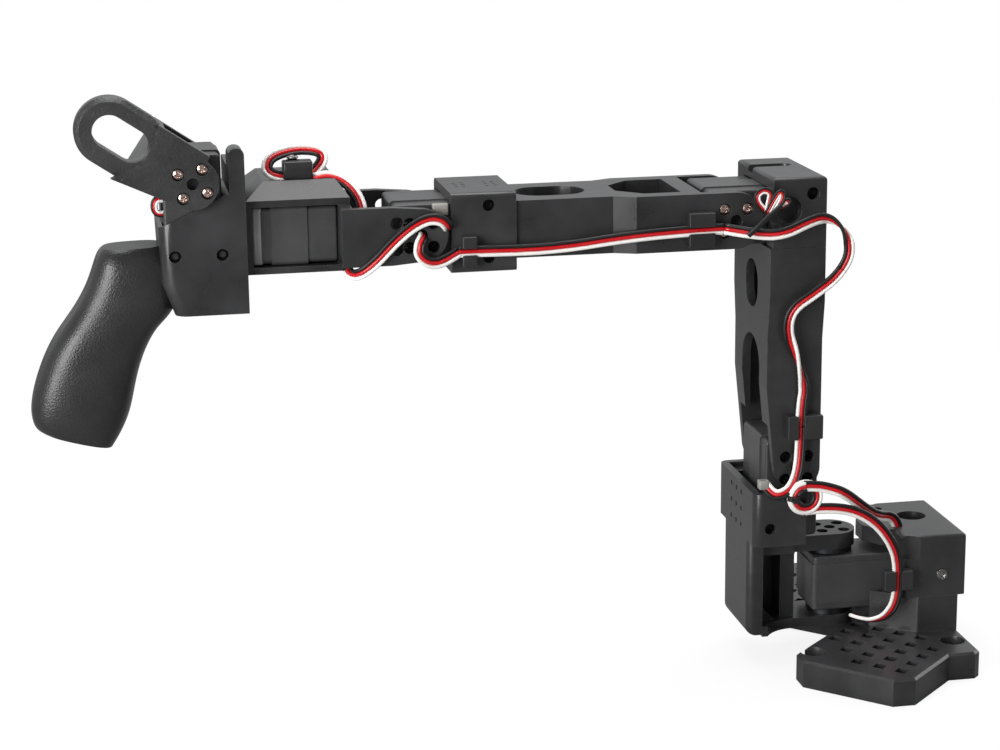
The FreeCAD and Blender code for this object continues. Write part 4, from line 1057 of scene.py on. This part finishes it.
def fasteners() -> List[Union[HornScrews, SideScrewsAndHoleShade, FaceScrew]]:
    """Lists the screws of the six joints, of the housings' side holes, where they also paint the
    holes' shade, and on the faces.

    Returns:
        The groups of screws in the order they are made.
    """
    half = math.sqrt(0.5)
    tilt = math.radians(TRIGGER_TILT)
    ahead, side, up = (1.0, 0.0, 0.0), (0.0, 1.0, 0.0), (0.0, 0.0, 1.0)
    slanted = (half, 0.0, half)
    trigger_slant = (math.cos(tilt), 0.0, math.sin(tilt))
    copper = {"finish": FINISHES["copper_screw"], "slot": "copper_screw", "sunk": 0.1 * MM}
    return [
        HornScrews("shoulder_pan", up, (half, half, 0.0), "pan_screws"),
        HornScrews("shoulder_lift", side, slanted, "lift_screws"),
        HornScrews("elbow_flex", side, slanted, "elbow_screws", **copper),
        HornScrews("wrist_flex", side, slanted, "flex_screws"),
        HornScrews("wrist_roll", ahead, (0.0, half, half), "roll_screws", both=False),
        HornScrews("trigger_pull", side, trigger_slant, "trigger_screws", **copper),
        # Screws in the side holes: partly real screws, partly painted shade that darkens the holes.
        SideScrewsAndHoleShade("shoulder_motor_holder", ((36.0, 25.7, 65.2),)),
        SideScrewsAndHoleShade("elbow_motor_cap", ((19.1, 24.5, 210.95),)),
        SideScrewsAndHoleShade("wrist_motor_holder", ((156.6, 20.5, 211.3), (156.6, 20.5, 189.5))),
        SideScrewsAndHoleShade("handle_block", ((266.0, 18.6, 195.4), (285.1, 18.6, 195.4))),
        FaceScrew("elbow_cap_screw", up, "copper_screw"),
        FaceScrew("roll_clip_screw", up, "steel_screw", Recess.HEXAGON),
        FaceScrew("base_cap_screw", side, "steel_screw", Recess.HEXAGON),
    ]


@dataclass(frozen=True)
class CadDress:
    """Finishes of the CAD nodes and the small radius that moulding gives their edges.

    Flat is the angle in degrees up to which faces count as one, and corner the angle from which an
    edge is rounded.
    """

    radius: float = 0.7 * MM
    segments: int = 3
    weld: float = 0.002 * MM
    flat: float = 0.6
    corner: float = 28.0
    soft_slots: Tuple[str, ...] = ("charcoal_plastic", "trigger_plastic", "clip_plastic")

    def round_edges(self, node: bpy.types.Object) -> None:
        """Joins the triangles, merges flat faces and rolls the sharp edges over.

        Args:
            node: object of a CAD node.
        """
        node.modifiers.new("joined", "WELD").merge_threshold = self.weld
        faces = node.modifiers.new("faces", "DECIMATE")
        faces.decimate_type = "DISSOLVE"
        faces.angle_limit = math.radians(self.flat)
        edges = node.modifiers.new("edges", "BEVEL")
        edges.width = self.radius
        edges.segments = self.segments
        edges.limit_method = "ANGLE"
        edges.angle_limit = math.radians(self.corner)
        edges.use_clamp_overlap = True
        edges.harden_normals = True

    def dress(self) -> None:
        """Gives every CAD node the material of its slot, and rounds the moulded ones."""
        for row in frame["record"]["subparts"]:
            node, slot = frame["nodes"][row["node"]], row["material_slot"]
            if slot not in FINISHES:
                continue
            for place in node.material_slots:
                place.material = BOOK.of(FINISHES[slot])
            if slot in self.soft_slots:
                self.round_edges(node)
            log.info("%s dressed as %s", row["node"], FINISHES[slot].name)


@dataclass(frozen=True)
class SoftBox:
    """Square soft lamp: where it hangs, the length of its side and its watts."""

    name: str
    place: Triple
    size: float
    power: float

    def hang(self, target: Triple) -> None:
        """Hangs the lamp.

        Args:
            target: point it faces.
        """
        data = bpy.data.lights.new(self.name, "AREA")
        data.size, data.energy = self.size, self.power
        holder = bpy.data.objects.new(self.name, data)
        way = Vector(target) - Vector(self.place)
        turn = way.to_track_quat("-Z", "Y").to_matrix().to_4x4()
        holder.matrix_world = Matrix.Translation(Vector(self.place)) @ turn
        bpy.context.scene.collection.objects.link(holder)


@dataclass(frozen=True)
class Studio:
    """Camera at the photograph's angle, soft lamps, a pale floor and a white surround.

    Soft is the surround's light on the arm, and sweep its light from behind, which is full where a
    direction's Y reaches full. Even is the share of plain white in the look of the floor near the
    arm, which grows to one over the fade, a span of distances from the origin.
    """

    place: Triple = (0.3359, 0.9999, 0.3880)
    yaw: float = 10.61
    pitch: float = 14.04
    roll: float = -0.70
    lens: float = 88.3
    sensor: float = 36.0
    clip: Span = (0.01, 50.0)
    target: Triple = (0.15, 0.0, 0.15)
    lamps: Tuple[SoftBox, ...] = (
        SoftBox("top_box", (0.15, -0.1, 1.3), 0.9, 13.0),
        SoftBox("left_box", (1.15, 0.85, 0.4), 0.75, 21.0),
        SoftBox("back_box", (-1.25, -0.75, 0.6), 1.6, 16.0),
    )
    tint: Tuple[float, ...] = (0.98, 0.99, 1.0, 1.0)
    soft: float = 0.29
    sweep: float = 0.6
    full: float = -0.5
    floor_half: float = 6.0
    floor_pale: Tuple[str, str] = ("#f4f4f4", "#f8f8f8")
    floor_grey: str = "#8c8c8c"
    floor_grain: float = 40.0
    even: float = 0.84
    fade: Span = (0.25, 0.9)

    def camera(self) -> None:
        """Places the camera: forward, right and up come from yaw, pitch and roll."""
        yaw, pitch, roll = (math.radians(v) for v in (self.yaw, self.pitch, self.roll))
        level = np.array((-math.sin(yaw), -math.cos(yaw), 0.0))
        ahead = math.cos(pitch) * level - math.sin(pitch) * UP
        right = np.array((-math.cos(yaw), math.sin(yaw), 0.0))
        above = math.sin(pitch) * level + math.cos(pitch) * UP
        right, above = (math.cos(roll) * right + math.sin(roll) * above,
                        math.cos(roll) * above - math.sin(roll) * right)
        data = bpy.data.cameras.new("photo_camera")
        data.lens, data.sensor_width = self.lens, self.sensor
        data.clip_start, data.clip_end = self.clip
        holder = bpy.data.objects.new("photo_camera", data)
        turn = Matrix(np.column_stack((right, above, -ahead)).tolist()).to_4x4()
        holder.matrix_world = Matrix.Translation(Vector(self.place)) @ turn
        bpy.context.scene.collection.objects.link(holder)
        bpy.context.scene.camera = holder

    def seen(self, tree: Tree) -> Socket:
        """One where a ray comes from the camera or through a clear piece.

        Args:
            tree: node tree that asks.
        Returns:
            The socket with one or zero.
        """
        path = add(tree, "LightPath").outputs
        return add(tree, "Math", {"operation": "MAXIMUM"},
                   {0: path["Is Camera Ray"], 1: path["Is Transmission Ray"]}).outputs[0]

    def surround(self) -> None:
        """White where it is seen, else an even soft light with a paler sweep behind the arm."""
        world = bpy.data.worlds.new("surround")
        world.use_nodes = True
        tree = world.node_tree
        tree.nodes.clear()
        way = add(tree, "SeparateXYZ", None, {0: add(tree, "TexCoord").outputs["Generated"]})
        behind = add(tree, "MapRange", {
            "From Min": 0.0, "From Max": self.full, "To Min": self.soft, "To Max": self.sweep},
            {"Value": way.outputs["Y"]})
        white = add(tree, "Background", {"Color": WHITE, "Strength": 1.0})
        soft = add(tree, "Background", {"Color": self.tint}, {"Strength": behind.outputs[0]})
        mix = add(tree, "MixShader", None,
                  {0: self.seen(tree), 1: soft.outputs[0], 2: white.outputs[0]})
        add(tree, "OutputWorld", None, {"Surface": mix.outputs[0]})
        bpy.context.scene.world = world

    def floor_material(self) -> bpy.types.Material:
        """Makes the floor's look: pale where it is seen, grey in bounced light, white far away.

        Returns:
            The node material.
        """
        material, tree, where = new_tree("pale_floor")
        seen = self.seen(tree)
        reach = add(tree, "VectorMath", {"operation": "LENGTH"}, {0: where}).outputs["Value"]
        near, far = self.fade
        even = add(tree, "MapRange", {"From Min": near, "From Max": far, "To Min": self.even},
                   {"Value": reach})
        share = add(tree, "Math", {"operation": "MULTIPLY"}, {0: seen, 1: even.outputs[0]})
        grain = add(tree, "TexNoise", {"Scale": per_metre(self.floor_grain), "Detail": 3.0},
                    {"Vector": where})
        dark, light = (linear(code) for code in self.floor_pale)
        pale = add(tree, "Mix", {"data_type": "RGBA", 6: dark, 7: light}, {0: grain.outputs[0]})
        colour = add(tree, "Mix", {"data_type": "RGBA", 6: linear(self.floor_grey)},
                     {0: seen, 7: pale.outputs[2]})
        matt = add(tree, "BsdfDiffuse", None, {"Color": colour.outputs[2]})
        glow = add(tree, "Emission", {"Color": WHITE, "Strength": 1.0})
        mix = add(tree, "MixShader", None,
                  {0: share.outputs[0], 1: matt.outputs[0], 2: glow.outputs[0]})
        add(tree, "OutputMaterial", None, {"Surface": mix.outputs[0]})
        return material

    def floor(self) -> None:
        """Lays the floor, which goes over to the white of the surround away from the arm."""
        half = self.floor_half
        mesh = bpy.data.meshes.new("floor")
        mesh.from_pydata([(-half, -half, 0.0), (half, -half, 0.0), (half, half, 0.0),
                          (-half, half, 0.0)], [], [(0, 1, 2, 3)])
        mesh.materials.append(self.floor_material())
        ground = bpy.data.objects.new("floor", mesh)
        bpy.context.scene.collection.objects.link(ground)

    def build(self) -> None:
        """Sets the camera, the surround, the floor and the lamps."""
        bpy.context.scene.view_settings.view_transform = "Standard"
        self.camera()
        self.surround()
        self.floor()
        for lamp in self.lamps:
            lamp.hang(self.target)


def main() -> None:
    """Builds the studio, the leads, the mouldings and the screws, and dresses the CAD nodes."""
    logging.basicConfig(level=logging.INFO, format="%(message)s")
    Studio().build()
    Harness().build()
    SmallMouldings().build()
    for group in fasteners():
        group.build()
    CadDress().dress()


if __name__ == "__main__":
    main()
